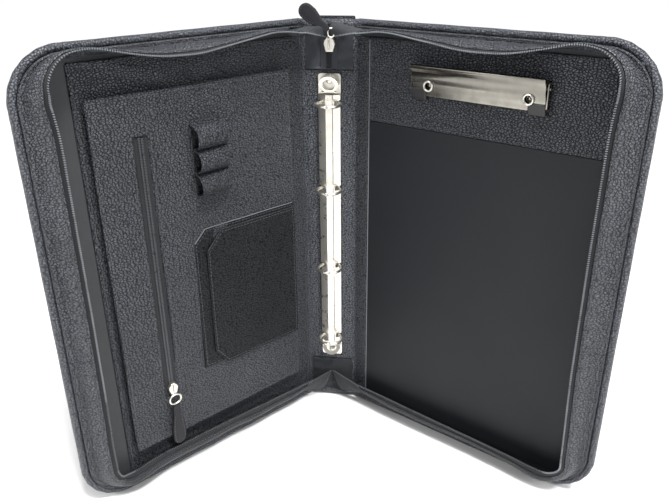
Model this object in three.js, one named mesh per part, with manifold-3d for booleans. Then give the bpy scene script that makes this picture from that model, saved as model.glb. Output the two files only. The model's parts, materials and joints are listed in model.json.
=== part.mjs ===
// A zip-round leather portfolio case, standing open on its bottom edges: a stiff spine with a four-ring
// mechanism, and two padded covers that each carry half of the zip on a folding leather gusset band.
// Millimetres, +Z up. The origin is the middle of the spine board's bottom face. Inside faces -Y.
import * as THREE from "three";
import { mergeVertices } from "three/addons/utils/BufferGeometryUtils.js";
import Module from "manifold-3d";

// Driving dimensions, in millimetres and degrees.
const HEIGHT = 388;
const COVER_WIDTH = 252; // from the hinge line to the outer edge
const HALF_SPINE = 23.8; // from the middle of the spine to each hinge line
const HINGE_Y = -2.6; // the inner face of the spine and of the covers when flat
const LEFT_OPEN = 50; // how far each cover is turned forward of flat
const RIGHT_OPEN = 29.5;
const CORNER = 40; // radius of the covers' outer corners
const GAP = 0.3; // between pieces that touch
const SHEET = 1.4; // thickness of a leather panel
const EDGE = 8.9; // width of the padded edge
const HINGE_CLEAR = 1.5; // from the hinge line to the covers' stiff layers
const BAND_ROOT = 9.9; // where the gusset band is sewn in, from the outer edge
const BAND_START = 15; // where the bands begin, from the hinge line
const BAND_LEATHER = 13.6; // widths across the band: leather, zip tape, zip teeth
const BAND_TAPE = 6;
const BAND_TEETH = 1.9;
const RING_PITCH = 80;
const RING_BOTTOM = 77; // height of the lowest ring
const RING_RADIUS = 11;
const RING_WIRE = 1.4;
const PIVOT_X = 9; // the ring blades' pivots, beside the middle line and above the spine
const PIVOT_N = 2.3;
const DEG = Math.PI / 180;

// Fold angle of the gusset band round the cover, from the top hinge end (0) to the bottom hinge end (1):
// it stands up at the corners, leans in along the top and folds well in along the side and the bottom.
const BAND_FOLD = [
  [0, 92], [0.05, 100], [0.14, 75], [0.21, 97], [0.24, 110], [0.27, 94],
  [0.3, 52], [0.34, 43], [0.62, 47], [0.7, 52], [0.75, 38], [1, 36],
];

const LEATHER = new THREE.MeshStandardMaterial({ color: 0x17181a, roughness: 0.55 });
const LINING = new THREE.MeshStandardMaterial({ color: 0x303436, roughness: 0.75 });
const FABRIC = new THREE.MeshStandardMaterial({ color: 0x1b1d20, roughness: 0.9 });
const ZIP = new THREE.MeshStandardMaterial({ color: 0x3c3f42, roughness: 0.6 });
const BOARD = new THREE.MeshStandardMaterial({ color: 0x6b675f, roughness: 0.9 });
const NICKEL = new THREE.MeshStandardMaterial({ color: 0xd9d6c8, roughness: 0.25, metalness: 1 });
const PLASTIC = new THREE.MeshStandardMaterial({ color: 0x0c0c0d, roughness: 0.4 });

const wasm = await Module();
wasm.setup();

// A closed geometry as a manifold-3d solid, and back.
function solidOf(geometry) {
  const bare = geometry.index ? geometry.toNonIndexed() : geometry.clone();
  bare.deleteAttribute("normal");
  bare.deleteAttribute("uv");
  const merged = mergeVertices(bare, 1e-4);
  const mesh = new wasm.Mesh({
    numProp: 3,
    vertProperties: merged.attributes.position.array,
    triVerts: new Uint32Array(merged.index.array),
  });
  return new wasm.Manifold(mesh);
}

function geometryOf(solid) {
  const mesh = solid.getMesh();
  const geometry = new THREE.BufferGeometry();
  geometry.setAttribute("position", new THREE.BufferAttribute(mesh.vertProperties, 3));
  geometry.setIndex(new THREE.BufferAttribute(mesh.triVerts, 1));
  geometry.computeVertexNormals();
  return geometry;
}

function cut(base, ...tools) {
  return geometryOf(tools.reduce((left, tool) => left.subtract(solidOf(tool)), solidOf(base)));
}

function join(base, ...others) {
  return geometryOf(others.reduce((sum, other) => sum.add(solidOf(other)), solidOf(base)));
}

// Every group below has the same local frame: X runs along the panel, Z is up, and a height n above
// the panel's inner face is at local Y = -n.
const basis = (x, y, z) => new THREE.Matrix4().makeBasis(x, y, z);
const FLAT = basis(new THREE.Vector3(1, 0, 0), new THREE.Vector3(0, 0, 1), new THREE.Vector3(0, -1, 0));
const ALONG = basis(new THREE.Vector3(0, 0, 1), new THREE.Vector3(0, -1, 0), new THREE.Vector3(1, 0, 0));
const DOWN = basis(new THREE.Vector3(1, 0, 0), new THREE.Vector3(0, -1, 0), new THREE.Vector3(0, 0, -1));

function extrude(shape, depth, curveSegments, bevel = 0) {
  return new THREE.ExtrudeGeometry(shape, {
    depth: depth - 2 * bevel,
    curveSegments,
    bevelEnabled: bevel > 0,
    bevelThickness: bevel,
    bevelSize: bevel,
    bevelOffset: -bevel,
    bevelSegments: 2,
  }).translate(0, 0, bevel);
}

// An outline in (along, up), filled from height n0 to n1.
function slab(shape, n0, n1, bevel = 0, curveSegments = 6) {
  return extrude(shape, n1 - n0, curveSegments, bevel).applyMatrix4(FLAT).translate(0, -n0, 0);
}

// A profile in (up, n), drawn out from x0 to x1.
function bar(profile, x0, x1, curveSegments = 8) {
  return extrude(profile, x1 - x0, curveSegments).applyMatrix4(ALONG).translate(x0, 0, 0);
}

// A profile in (along, n), drawn out from height z0 to z1.
function column(profile, z0, z1, curveSegments = 8) {
  return extrude(profile, z1 - z0, curveSegments).applyMatrix4(DOWN).translate(0, 0, z1);
}

function polygon(points) {
  return new THREE.Shape(points.map(([x, y]) => new THREE.Vector2(x, y)));
}

function rectangle(x0, y0, x1, y1, radius = 0) {
  if (radius === 0) {
    return polygon([[x0, y0], [x1, y0], [x1, y1], [x0, y1]]);
  }
  const shape = new THREE.Shape();
  shape.absarc(x1 - radius, y0 + radius, radius, -Math.PI / 2, 0);
  shape.absarc(x1 - radius, y1 - radius, radius, 0, Math.PI / 2);
  shape.absarc(x0 + radius, y1 - radius, radius, Math.PI / 2, Math.PI);
  shape.absarc(x0 + radius, y0 + radius, radius, Math.PI, 1.5 * Math.PI);
  return shape;
}

function circle(x, y, radius) {
  return new THREE.Shape().absarc(x, y, radius, 0, 2 * Math.PI);
}

// A round wire along a smooth curve through points.
function wire(points, radius, steps, closed = false, sides = 8) {
  const curve = new THREE.CatmullRomCurve3(points, closed);
  const section = new THREE.Shape();
  section.absarc(0, 0, radius, 0, 2 * Math.PI);
  return new THREE.ExtrudeGeometry(section, {
    steps,
    curveSegments: sides / 2,
    bevelEnabled: false,
    extrudePath: curve,
  });
}

function rod(x0, x1, n, z, radius) {
  return bar(circle(z, n, radius), x0, x1, 5);
}

function piece(group, name, geometry, material) {
  const mesh = new THREE.Mesh(geometry, material);
  mesh.name = name;
  group.add(mesh);
  return mesh;
}

// ---- The spine --------------------------------------------------------------------------------

const SPINE_EDGE = HALF_SPINE - 1.5; // half the width of the spine's layers
const HEM_TOP = 345; // where the inner leather ends and the gusset fabric begins
const HEM_BOTTOM = 46;

function addSpine(group) {
  const inner = rectangle(-SPINE_EDGE, HEM_BOTTOM, SPINE_EDGE, HEM_TOP);
  piece(group, "spine_inner_leather", slab(inner, -1.1, 0), LEATHER);
  const board = rectangle(-SPINE_EDGE + 0.8, 0, SPINE_EDGE - 0.8, HEIGHT - 2);
  piece(group, "spine_board", slab(board, -3.8, -1.4), BOARD);
  const outer = rectangle(-SPINE_EDGE, 0, SPINE_EDGE, HEIGHT + 2, 2);
  piece(group, "spine_outer_leather", slab(outer, -5.7, -4.1), LEATHER);
  const top = rectangle(-SPINE_EDGE + 1, HEM_TOP + 0.6, SPINE_EDGE - 1, HEIGHT - 3);
  piece(group, "top_gusset_fabric", slab(top, -1.1, 0.6), FABRIC);
  const bottom = rectangle(-SPINE_EDGE + 1, 4, SPINE_EDGE - 1, HEM_BOTTOM - 0.6);
  piece(group, "bottom_gusset_fabric", slab(bottom, -1.1, 0.6), FABRIC);
  const tape = slab(rectangle(-9, HEM_TOP + 1, 9, HEIGHT - 4), 0.9, 1.6);
  const chain = slab(rectangle(-2.3, HEM_TOP + 2, 2.3, HEIGHT - 4), 1.4, 3.2);
  piece(group, "zip_tail", join(tape, chain), ZIP);
}

// ---- The ring mechanism -----------------------------------------------------------------------

const PLATE_BOTTOM = 70;
const PLATE_TOP = 324;
const PLATE_HALF = 10;
const TONGUE = 18; // the flat riveted end past the arch
const ringHeights = [0, 1, 2, 3].map((i) => RING_BOTTOM + i * RING_PITCH);

function archPlate() {
  const outline = [
    [-PLATE_HALF, 0.3], [-9.9, 3.8], [-3.6, 6.5], [-3, 7.1], [3, 7.1], [3.6, 6.5], [9.9, 3.8],
    [PLATE_HALF, 0.3], [9.2, 0.3], [9.1, 3.3], [3.4, 5.7], [2.8, 6.3], [-2.8, 6.3], [-3.4, 5.7],
    [-9.1, 3.3], [-9.2, 0.3],
  ];
  const arch = column(polygon(outline), PLATE_BOTTOM, PLATE_TOP);
  const slots = ringHeights.flatMap((z) =>
    [-1, 1].map((side) => {
      const near = Math.min(side * 4.6, side * 11);
      return slab(rectangle(near, z - 2.3, near + 6.4, z + 2.3), -0.1, 9);
    })
  );
  const low = slab(rectangle(-PLATE_HALF, PLATE_BOTTOM - TONGUE, PLATE_HALF, PLATE_BOTTOM + 2.5, 2.4), 0.3, 1.3);
  const high = slab(rectangle(-PLATE_HALF, PLATE_TOP - 2.5, PLATE_HALF, PLATE_TOP + TONGUE, 2.4), 0.3, 1.3);
  return join(cut(arch, ...slots), low, high);
}

// One half of a ring, as a wire from its blade round to the tip. side is -1 on the left.
function ringHalf(side, z) {
  const middle = 12.9;
  const foot = [[6.4, PIVOT_N + 1.4], [7.2, 5.4]];
  const bow = [-35, -5, 25, 55, 75, 89].map((angle) => [
    RING_RADIUS * Math.cos(angle * DEG),
    middle + RING_RADIUS * Math.sin(angle * DEG),
  ]);
  const points = [...foot, ...bow].map(([x, n]) => new THREE.Vector3(side * (x + GAP / 2), -n, z));
  return wire(points, RING_WIRE, 18);
}

function rivet(x, z, n) {
  const profile = [[0, 0], [3, 0], [3, 0.4], [2, 1.1], [0, 1.4]].map(([r, y]) => new THREE.Vector2(r, y));
  return new THREE.LatheGeometry(profile, 16).rotateX(Math.PI).translate(x, -n, z);
}

// A trigger: a rounded loop that stands off the plate's end. way is 1 at the top and -1 at the bottom.
function trigger(way, reach) {
  const outline = new THREE.Shape();
  outline.moveTo(-3, 0);
  outline.lineTo(3, 0);
  outline.lineTo(9, reach - 9);
  outline.absarc(0, reach - 9, 9, 0, Math.PI);
  outline.lineTo(-3, 0);
  const loop = slab(outline, 0, 1.3).rotateX(24 * DEG);
  const hole = slab(circle(0, reach - 9, 5.6), -1, 3).rotateX(24 * DEG);
  const end = way > 0 ? PLATE_TOP + 2 : PLATE_BOTTOM - 2;
  const shaped = cut(join(loop, rod(-7, 7, 0.4, 0, 1.1)), hole);
  return shaped.rotateY(way > 0 ? 0 : Math.PI).translate(0, -3.1, end);
}

function addRings(group) {
  piece(group, "ring_base_plate", archPlate(), NICKEL);
  piece(group, "ring_rivet_top", rivet(0, PLATE_TOP + 12, 1.6), NICKEL);
  piece(group, "ring_rivet_bottom", rivet(0, PLATE_BOTTOM - 12, 1.6), NICKEL);
  for (const [label, side] of [["left", -1], ["right", 1]]) {
    const near = Math.min(side * 0.6, side * 8.7);
    const blade = rectangle(near, PLATE_BOTTOM + 3.2, near + 8.1, PLATE_TOP - 3.2);
    piece(group, `ring_blade_${label}`, slab(blade, PIVOT_N - 0.6, PIVOT_N + 0.6), NICKEL);
    ringHeights.forEach((z, i) => piece(group, `ring_${i + 1}_${label}_half`, ringHalf(side, z), NICKEL));
  }
  piece(group, "ring_trigger_top", trigger(1, 17), NICKEL);
  piece(group, "ring_trigger_bottom", trigger(-1, 14), NICKEL);
}

// ---- Zip sliders ------------------------------------------------------------------------------

// A bell-shaped slider body with the bridge its ring hangs from.
function sliderBody(x, z, n, width, height) {
  const half = width / 2;
  const bell = polygon([
    [x - half * 0.72, z - height / 2], [x + half * 0.72, z - height / 2], [x + half * 0.8, z - height * 0.1],
    [x + half, z + height * 0.12], [x + half * 0.75, z + height * 0.38], [x, z + height / 2],
    [x - half * 0.75, z + height * 0.38], [x - half, z + height * 0.12], [x - half * 0.8, z - height * 0.1],
  ]);
  const bridge = bar(rectangle(z - height * 0.36, n + 2.2, z + height * 0.36, n + 4.6, 1), x - 1.5, x + 1.5);
  return join(slab(bell, n, n + 2.6), bridge);
}

// A leather pull tab: a straight neck that widens to a round end, pointing up along +Z from its root.
function pullTab(length, neck, end) {
  const outline = new THREE.Shape();
  outline.moveTo(-neck, 0);
  outline.lineTo(neck, 0);
  outline.lineTo(end, length - end * 1.4);
  outline.absarc(0, length - end, end, 0.1, Math.PI - 0.1);
  return slab(outline, 0, 1.8, 0, 8);
}

// An oval pull ring in the (along, up) plane at height n.
function pullRing(x, z, n, halfWidth, halfHeight, radius) {
  const points = [0, 45, 90, 135, 180, 225, 270, 315].map((angle) => {
    return new THREE.Vector3(x + halfWidth * Math.cos(angle * DEG), -n, z + halfHeight * Math.sin(angle * DEG));
  });
  return wire(points, radius, 20, true, 6);
}

const MAIN_SLIDER_Z = 367.5;
const MAIN_RING = [3, 377.5]; // middle of the main slider's ring
const MAIN_TAB_TURN = 50; // how far the main tab leans over to the left
const MAIN_TAB_REACH = 4.9; // from the middle of the ring to the tab's root

function addMainPull(group) {
  piece(group, "main_slider", sliderBody(0.8, MAIN_SLIDER_Z, 3.5, 10.5, 13), NICKEL);
  piece(group, "main_pull_ring", pullRing(...MAIN_RING, 9.1, 2.9, 3.8, 0.7), NICKEL);
  const tab = pullTab(31.5, 3.6, 7.4).translate(0, 0, MAIN_TAB_REACH).rotateY(-MAIN_TAB_TURN * DEG);
  const [x, z] = MAIN_RING;
  piece(group, "main_pull_tab", tab.translate(x, -8.2, z), LEATHER);
}

// ---- The covers -------------------------------------------------------------------------------

// A cover's outline, inset all round but at the hinge, where it starts at x0.
function coverOutline(inset, x0 = HINGE_CLEAR) {
  const right = COVER_WIDTH - inset;
  const radius = CORNER - inset;
  const shape = new THREE.Shape();
  shape.moveTo(x0, inset);
  shape.absarc(right - radius, inset + radius, radius, -Math.PI / 2, 0);
  shape.absarc(right - radius, HEIGHT - inset - radius, radius, 0, Math.PI / 2);
  shape.lineTo(x0, HEIGHT - inset);
  return shape;
}

function edgeRoll() {
  const shape = coverOutline(0);
  const right = COVER_WIDTH - EDGE;
  const radius = CORNER - EDGE;
  shape.lineTo(HINGE_CLEAR, HEIGHT - EDGE);
  shape.absarc(right - radius, HEIGHT - EDGE - radius, radius, Math.PI / 2, 0, true);
  shape.absarc(right - radius, EDGE + radius, radius, 0, -Math.PI / 2, true);
  shape.lineTo(HINGE_CLEAR, EDGE);
  return slab(shape, -6.2, 1.5, 2, 8);
}

function foldAt(t) {
  const next = Math.max(1, BAND_FOLD.findIndex(([place]) => place >= t));
  const [t0, a0] = BAND_FOLD[next - 1];
  const [t1, a1] = BAND_FOLD[next];
  return THREE.MathUtils.lerp(a0, a1, THREE.MathUtils.smoothstep(t, t0, t1)) * DEG;
}

// Stations along the line where the band is sewn in, from the top hinge end round to the bottom one:
// a place, the inward direction there and the fold angle.
function bandStations() {
  const radius = CORNER - BAND_ROOT;
  const side = COVER_WIDTH - BAND_ROOT;
  const flat = COVER_WIDTH - CORNER;
  const arc = (radius * Math.PI) / 2;
  const upright = HEIGHT - 2 * CORNER;
  const total = 2 * flat + 2 * arc + upright;
  const stations = [];
  const add = (x, z, ix, iz, along) => stations.push({ x, z, ix, iz, fold: foldAt(along / total) });
  for (let i = 0; i < 14; i++) {
    const x = THREE.MathUtils.lerp(BAND_START, flat, i / 14);
    add(x, HEIGHT - BAND_ROOT, 0, -1, x);
  }
  for (let i = 0; i <= 8; i++) {
    const a = ((8 - i) / 8) * (Math.PI / 2);
    const [c, s] = [Math.cos(a), Math.sin(a)];
    add(flat + radius * c, HEIGHT - CORNER + radius * s, -c, -s, flat + (arc * i) / 8);
  }
  for (let i = 1; i < 14; i++) {
    const down = (upright * i) / 14;
    add(side, HEIGHT - CORNER - down, -1, 0, flat + arc + down);
  }
  for (let i = 0; i <= 8; i++) {
    const a = (-i / 8) * (Math.PI / 2);
    const [c, s] = [Math.cos(a), Math.sin(a)];
    add(flat + radius * c, CORNER + radius * s, -c, -s, flat + arc + upright + (arc * i) / 8);
  }
  for (let i = 13; i >= 0; i--) {
    const x = THREE.MathUtils.lerp(BAND_START, flat, i / 14);
    add(x, BAND_ROOT, 0, 1, total - x);
  }
  return stations;
}

// A strip of the folded band between two distances from its root, with a thickness.
function ribbon(from, to, thickness) {
  const stations = bandStations();
  const places = [];
  for (const { x, z, ix, iz, fold } of stations) {
    const [c, s] = [Math.cos(fold), Math.sin(fold)];
    const corners = [[from, -1], [to, -1], [to, 1], [from, 1]];
    for (const [reach, face] of corners) {
      const inward = reach * c - (face * s * thickness) / 2;
      const rise = 1 + reach * s + (face * c * thickness) / 2;
      places.push(x + ix * inward, -rise, z + iz * inward);
    }
  }
  const index = [0, 1, 2, 0, 2, 3];
  const last = (stations.length - 1) * 4;
  index.push(last, last + 2, last + 1, last, last + 3, last + 2);
  for (let i = 0; i < stations.length - 1; i++) {
    for (let k = 0; k < 4; k++) {
      const a = i * 4 + k;
      const b = i * 4 + ((k + 1) % 4);
      index.push(a, a + 4, b, b, a + 4, b + 4);
    }
  }
  const geometry = new THREE.BufferGeometry();
  geometry.setAttribute("position", new THREE.Float32BufferAttribute(places, 3));
  geometry.setIndex(index);
  return geometry;
}

function addCover(group, label) {
  const inside = EDGE + GAP;
  piece(group, `${label}_lining`, slab(coverOutline(inside), -0.9, 0), LINING);
  piece(group, `${label}_cover_board`, slab(coverOutline(inside), -3.6, -1.2), BOARD);
  piece(group, `${label}_outer_leather`, slab(coverOutline(inside), -5.5, -3.9), LEATHER);
  piece(group, `${label}_edge_roll`, edgeRoll(), LEATHER);
  const tape = BAND_LEATHER + GAP;
  const teeth = tape + BAND_TAPE + GAP;
  piece(group, `${label}_gusset_band`, ribbon(GAP, BAND_LEATHER, SHEET), LEATHER);
  piece(group, `${label}_zip_tape`, ribbon(tape, tape + BAND_TAPE, 0.9), ZIP);
  piece(group, `${label}_zip_teeth`, ribbon(teeth, teeth + BAND_TEETH, 2.2), ZIP);
}

// ---- The organiser in the left cover ----------------------------------------------------------

const PANEL_INSET = 13.5; // from the outer edge to the inner panels, clear of the band's root
const POCKET = { near: 21.5, far: 205, low: 40, high: 349, face: 8.3 };
const ZIP_X = 166; // the pocket zip's middle line
const ZIP_LOW = 82;
const ZIP_HIGH = 317;
const LOOP_PITCH = 19.5;
const LOOP_LOW = 269; // middle of the lowest pen loop

function pocketGusset() {
  const inset = 6;
  const wall = 1.2;
  const [x0, x1] = [POCKET.near + 0.6, POCKET.far - inset];
  const z0 = POCKET.low + inset;
  const outline = polygon([
    [x0, z0], [x1, z0], [x1, POCKET.high - 4], [x1 - wall, POCKET.high - 4], [x1 - wall, z0 + wall],
    [x0 + wall, z0 + wall], [x0 + wall, POCKET.high - 4], [x0, POCKET.high - 4],
  ]);
  return slab(outline, SHEET + 2 * GAP, POCKET.face - SHEET - GAP);
}

function pocketFront() {
  const panel = slab(rectangle(POCKET.near, POCKET.low, POCKET.far, POCKET.high, 3), POCKET.face - SHEET, POCKET.face);
  const slot = slab(rectangle(ZIP_X - 6, ZIP_LOW, ZIP_X + 6, ZIP_HIGH), 0, 12);
  return cut(panel, slot);
}

function pocketZip() {
  const tape = slab(rectangle(ZIP_X - 5.7, ZIP_LOW + GAP, ZIP_X + 5.7, ZIP_HIGH - GAP), 6.9, 7.6);
  const chain = slab(rectangle(ZIP_X - 2.2, ZIP_LOW + 2, ZIP_X + 2.2, ZIP_HIGH - 2), 7.4, 8.9);
  return join(tape, chain);
}

function penLoops() {
  const base = POCKET.face + GAP;
  const top = base + 1;
  const [outer, inner] = [8.8, 7.6];
  const shape = new THREE.Shape();
  const end = LOOP_LOW + 2 * LOOP_PITCH + outer + 5;
  shape.moveTo(LOOP_LOW - outer - 2, base);
  shape.lineTo(end, base);
  shape.lineTo(end, top);
  for (const i of [2, 1, 0]) {
    const middle = LOOP_LOW + i * LOOP_PITCH;
    shape.lineTo(middle + outer, top);
    shape.absarc(middle, top, outer, 0, Math.PI);
  }
  shape.lineTo(LOOP_LOW - outer - 2, top);
  for (const i of [0, 1, 2]) {
    const middle = LOOP_LOW + i * LOOP_PITCH;
    const hole = new THREE.Path();
    hole.absarc(middle, top + 0.2, inner, 0, Math.PI);
    hole.lineTo(middle + inner, top + 0.2);
    shape.holes.push(hole);
  }
  return bar(shape, 93, 124, 5);
}

function addOrganiser(group) {
  const back = rectangle(2, 14, 211, HEIGHT - PANEL_INSET, 2);
  piece(group, "organiser_back_panel", slab(back, GAP, GAP + SHEET), LEATHER);
  piece(group, "document_pocket_gusset", pocketGusset(), FABRIC);
  piece(group, "document_pocket_front", pocketFront(), LEATHER);
  piece(group, "pocket_zip", pocketZip(), ZIP);
  piece(group, "pen_loop_strip", penLoops(), LEATHER);
  const rear = polygon([[24, 95], [131, 95], [131, 217], [119, 229], [24, 229]]);
  const rearBase = POCKET.face + GAP;
  piece(group, "card_pocket_rear", slab(rear, rearBase, rearBase + SHEET), LEATHER);
  const front = polygon([[24, 93], [108, 93], [120, 109], [120, 208], [104, 225], [24, 225]]);
  const frontBase = rearBase + SHEET + GAP;
  piece(group, "card_pocket_front", slab(front, frontBase, frontBase + SHEET), LEATHER);
  piece(group, "pocket_slider", sliderBody(ZIP_X, 91, 9.2, 9, 11), NICKEL);
  piece(group, "pocket_pull_ring", pullRing(ZIP_X, 80.5, 12.9, 5.4, 4.6, 0.8), NICKEL);
  const tab = pullTab(42, 4, 6).rotateY(Math.PI).translate(ZIP_X, -12, 74.8);
  piece(group, "pocket_pull_tab", tab, LEATHER);
}

// ---- The writing side and its clip, in the right cover ----------------------------------------

const STITCH_X = 15; // where the hinge strip meets the panels
const HEADER_LOW = 303;
const CLIP = { near: 61.5, far: 177.5, low: 331, high: 355.5, pinZ: 350, pinN: 6.4 };

function clipBase() {
  const plate = slab(rectangle(CLIP.near, CLIP.low + 1, CLIP.far, CLIP.high, 1), 2, 2.8);
  const ear = rectangle(CLIP.low + 4, 2.2, CLIP.high - 1, 8.4, 1);
  const ears = [CLIP.near, CLIP.far - 0.9].map((x) => bar(ear, x, x + 0.9));
  return cut(join(plate, ...ears), rod(CLIP.near - 2, CLIP.far + 2, CLIP.pinN, CLIP.pinZ, 1.7));
}

// The lever: a bent sheet whose jaw lies on the base and whose rolled top edge stands off it.
function clipLever() {
  const profile = polygon([
    [CLIP.low, 3.2], [CLIP.low + 1.3, 3.2], [CLIP.low + 2.6, 5.6], [344, 7.7], [347.6, 9.2], [352.6, 9.5],
    [355.6, 11.4], [357.4, 11], [358.2, 12], [357.4, 13.4], [355, 13.1], [352, 10.8], [347.2, 10.5],
    [343.4, 9], [CLIP.low + 1.6, 6.8],
  ]);
  const sheet = bar(profile, CLIP.near + 1.6, CLIP.far - 1.6);
  const windows = [78, 163].map((x) => slab(circle(x, 341.3, 3.4), 5, 13));
  const corners = [[CLIP.near, CLIP.near + 13.6], [CLIP.far - 13.6, CLIP.far]].map(([x0, x1]) => {
    return slab(rectangle(x0, CLIP.low - 2, x1, CLIP.low + 5), 0, 12);
  });
  return cut(sheet, ...windows, ...corners);
}

function jawTip(x) {
  const profile = polygon([[CLIP.low - 0.5, 3.1], [CLIP.low + 4.6, 3.1], [CLIP.low + 4.6, 7.4], [CLIP.low + 1, 6.4]]);
  return bar(profile, x, x + 11.4);
}

function clipSpring() {
  const outer = rod(112, 127, CLIP.pinN, CLIP.pinZ, 2.6);
  return cut(outer, rod(111, 128, CLIP.pinN, CLIP.pinZ, 1.7));
}

function addWritingSide(group) {
  const [low, high, far] = [PANEL_INSET, HEIGHT - PANEL_INSET, COVER_WIDTH - PANEL_INSET];
  const strip = rectangle(2, low, STITCH_X, high);
  piece(group, "right_hinge_strip", slab(strip, GAP, GAP + SHEET), LEATHER);
  const corner = CORNER - PANEL_INSET;
  const header = new THREE.Shape();
  header.moveTo(STITCH_X + GAP, HEADER_LOW);
  header.lineTo(far, HEADER_LOW);
  header.absarc(far - corner, high - corner, corner, 0, Math.PI / 2);
  header.lineTo(STITCH_X + GAP, high);
  piece(group, "right_leather_header", slab(header, GAP, GAP + SHEET), LEATHER);
  const panel = new THREE.Shape();
  panel.moveTo(STITCH_X + GAP, low);
  panel.absarc(far - corner, low + corner, corner, -Math.PI / 2, 0);
  panel.lineTo(far, HEADER_LOW - GAP);
  panel.lineTo(STITCH_X + GAP, HEADER_LOW - GAP);
  piece(group, "right_writing_panel", slab(panel, GAP, GAP + 1), LINING);
  piece(group, "clip_base", clipBase(), NICKEL);
  piece(group, "clip_rivet_left", rivet(78, 341.3, 3.1), NICKEL);
  piece(group, "clip_rivet_right", rivet(163, 341.3, 3.1), NICKEL);
  piece(group, "clip_pin", rod(CLIP.near - 1, CLIP.far + 1, CLIP.pinN, CLIP.pinZ, 1.3), NICKEL);
  piece(group, "clip_spring", clipSpring(), NICKEL);
  piece(group, "clip_lever", clipLever(), NICKEL);
  piece(group, "clip_jaw_tip_left", jawTip(CLIP.near + 1.8), PLASTIC);
  piece(group, "clip_jaw_tip_right", jawTip(CLIP.far - 13.2), PLASTIC);
}

// ---- The assembly -----------------------------------------------------------------------------

const group = new THREE.Group();

const spine = new THREE.Group();
spine.position.set(0, HINGE_Y, 0);
addSpine(spine);
addRings(spine);
addMainPull(spine);
group.add(spine);

const rightCover = new THREE.Group();
rightCover.position.set(HALF_SPINE, HINGE_Y, 0);
rightCover.rotation.z = -RIGHT_OPEN * DEG;
addCover(rightCover, "right");
addWritingSide(rightCover);
group.add(rightCover);

// The left cover is the same frame mirrored, so X still runs outward from its hinge.
const leftCover = new THREE.Group();
leftCover.position.set(-HALF_SPINE, HINGE_Y, 0);
leftCover.rotation.z = LEFT_OPEN * DEG;
leftCover.scale.x = -1;
addCover(leftCover, "left");
addOrganiser(leftCover);
group.add(leftCover);

export default group;
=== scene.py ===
"""Looks of a zip-round leather portfolio case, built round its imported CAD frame."""
import json
import math

import bmesh
import bpy
import numpy as np
from mathutils import Matrix, Vector

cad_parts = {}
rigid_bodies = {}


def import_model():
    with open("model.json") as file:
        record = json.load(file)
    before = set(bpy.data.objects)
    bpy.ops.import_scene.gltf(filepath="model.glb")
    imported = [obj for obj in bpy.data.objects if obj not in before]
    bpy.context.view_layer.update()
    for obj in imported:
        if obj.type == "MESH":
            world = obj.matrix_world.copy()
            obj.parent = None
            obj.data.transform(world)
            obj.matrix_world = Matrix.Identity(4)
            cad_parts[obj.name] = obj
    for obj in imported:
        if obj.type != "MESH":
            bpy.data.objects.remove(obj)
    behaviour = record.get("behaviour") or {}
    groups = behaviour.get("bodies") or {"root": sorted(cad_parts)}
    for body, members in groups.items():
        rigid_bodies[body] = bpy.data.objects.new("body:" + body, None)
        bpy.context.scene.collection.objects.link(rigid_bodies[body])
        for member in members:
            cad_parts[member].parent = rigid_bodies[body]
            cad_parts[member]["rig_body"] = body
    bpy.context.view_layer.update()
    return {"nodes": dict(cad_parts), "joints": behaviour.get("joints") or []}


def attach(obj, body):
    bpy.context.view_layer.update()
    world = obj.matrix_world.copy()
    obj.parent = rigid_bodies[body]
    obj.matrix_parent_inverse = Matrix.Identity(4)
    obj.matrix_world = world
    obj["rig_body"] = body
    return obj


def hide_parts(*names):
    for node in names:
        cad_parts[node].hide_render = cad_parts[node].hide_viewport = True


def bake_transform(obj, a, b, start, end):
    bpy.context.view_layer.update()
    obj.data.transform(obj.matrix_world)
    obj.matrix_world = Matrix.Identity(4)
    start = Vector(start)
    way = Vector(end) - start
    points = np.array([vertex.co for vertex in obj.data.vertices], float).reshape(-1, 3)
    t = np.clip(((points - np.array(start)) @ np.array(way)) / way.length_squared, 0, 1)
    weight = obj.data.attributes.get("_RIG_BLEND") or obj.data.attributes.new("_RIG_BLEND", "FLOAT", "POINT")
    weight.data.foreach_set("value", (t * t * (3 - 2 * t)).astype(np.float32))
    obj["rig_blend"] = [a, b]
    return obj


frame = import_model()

MM = 0.001
JOINTS = {joint["name"]: joint for joint in frame["joints"]}


# ---- Local frames -----------------------------------------------------------------------------

def columns(*values):
    """One row per point from separate values, each a number or one per point."""
    return np.stack(np.broadcast_arrays(*values), axis=-1)


class Local:
    """A panel's own frame: u outward from its hinge line, n up off its inner face, z up. Metres."""

    def __init__(self, origin, along, inward, body, up=(0, 0, 1)):
        self.origin = np.array(origin, float)
        self.axes = np.array([along, inward, up], float)
        self.body = body

    def turned(self, place, degrees, body):
        """The frame at a place (u, n, z) of this one, turned in its own plane, and riding on another body."""
        c, s = math.cos(math.radians(degrees)), math.sin(math.radians(degrees))
        along, inward, up = self.axes
        return Local(self.world(place), c * along + s * up, inward, body, -s * along + c * up)

    def world(self, points):
        """(..., 3) points as (u, n, z), in the row frame."""
        return self.origin + np.asarray(points, float) @ self.axes

    def at(self, u, n, z):
        """The same from separate values, each a number or one per point."""
        return self.world(columns(u, n, z))

    def local(self, points):
        return (np.asarray(points, float) - self.origin) @ self.axes.T

    def span(self, node):
        """The lowest and highest (u, n, z) of a CAD node."""
        co = [v.co for v in frame["nodes"][node].data.vertices]
        here = self.local(np.array(co, float).reshape(-1, 3))
        return here.min(0), here.max(0)


def hinge_frame(label, way):
    joint = JOINTS[f"{label}_cover_hinge"]
    angle = math.radians(-joint["range_deg"][0])
    x, y, _ = joint["pos_m"]
    along = (way * math.cos(angle), -math.sin(angle), 0)
    inward = (-way * math.sin(angle), -math.cos(angle), 0)
    return Local((x, y, 0), along, inward, f"{label}_cover")


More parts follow.
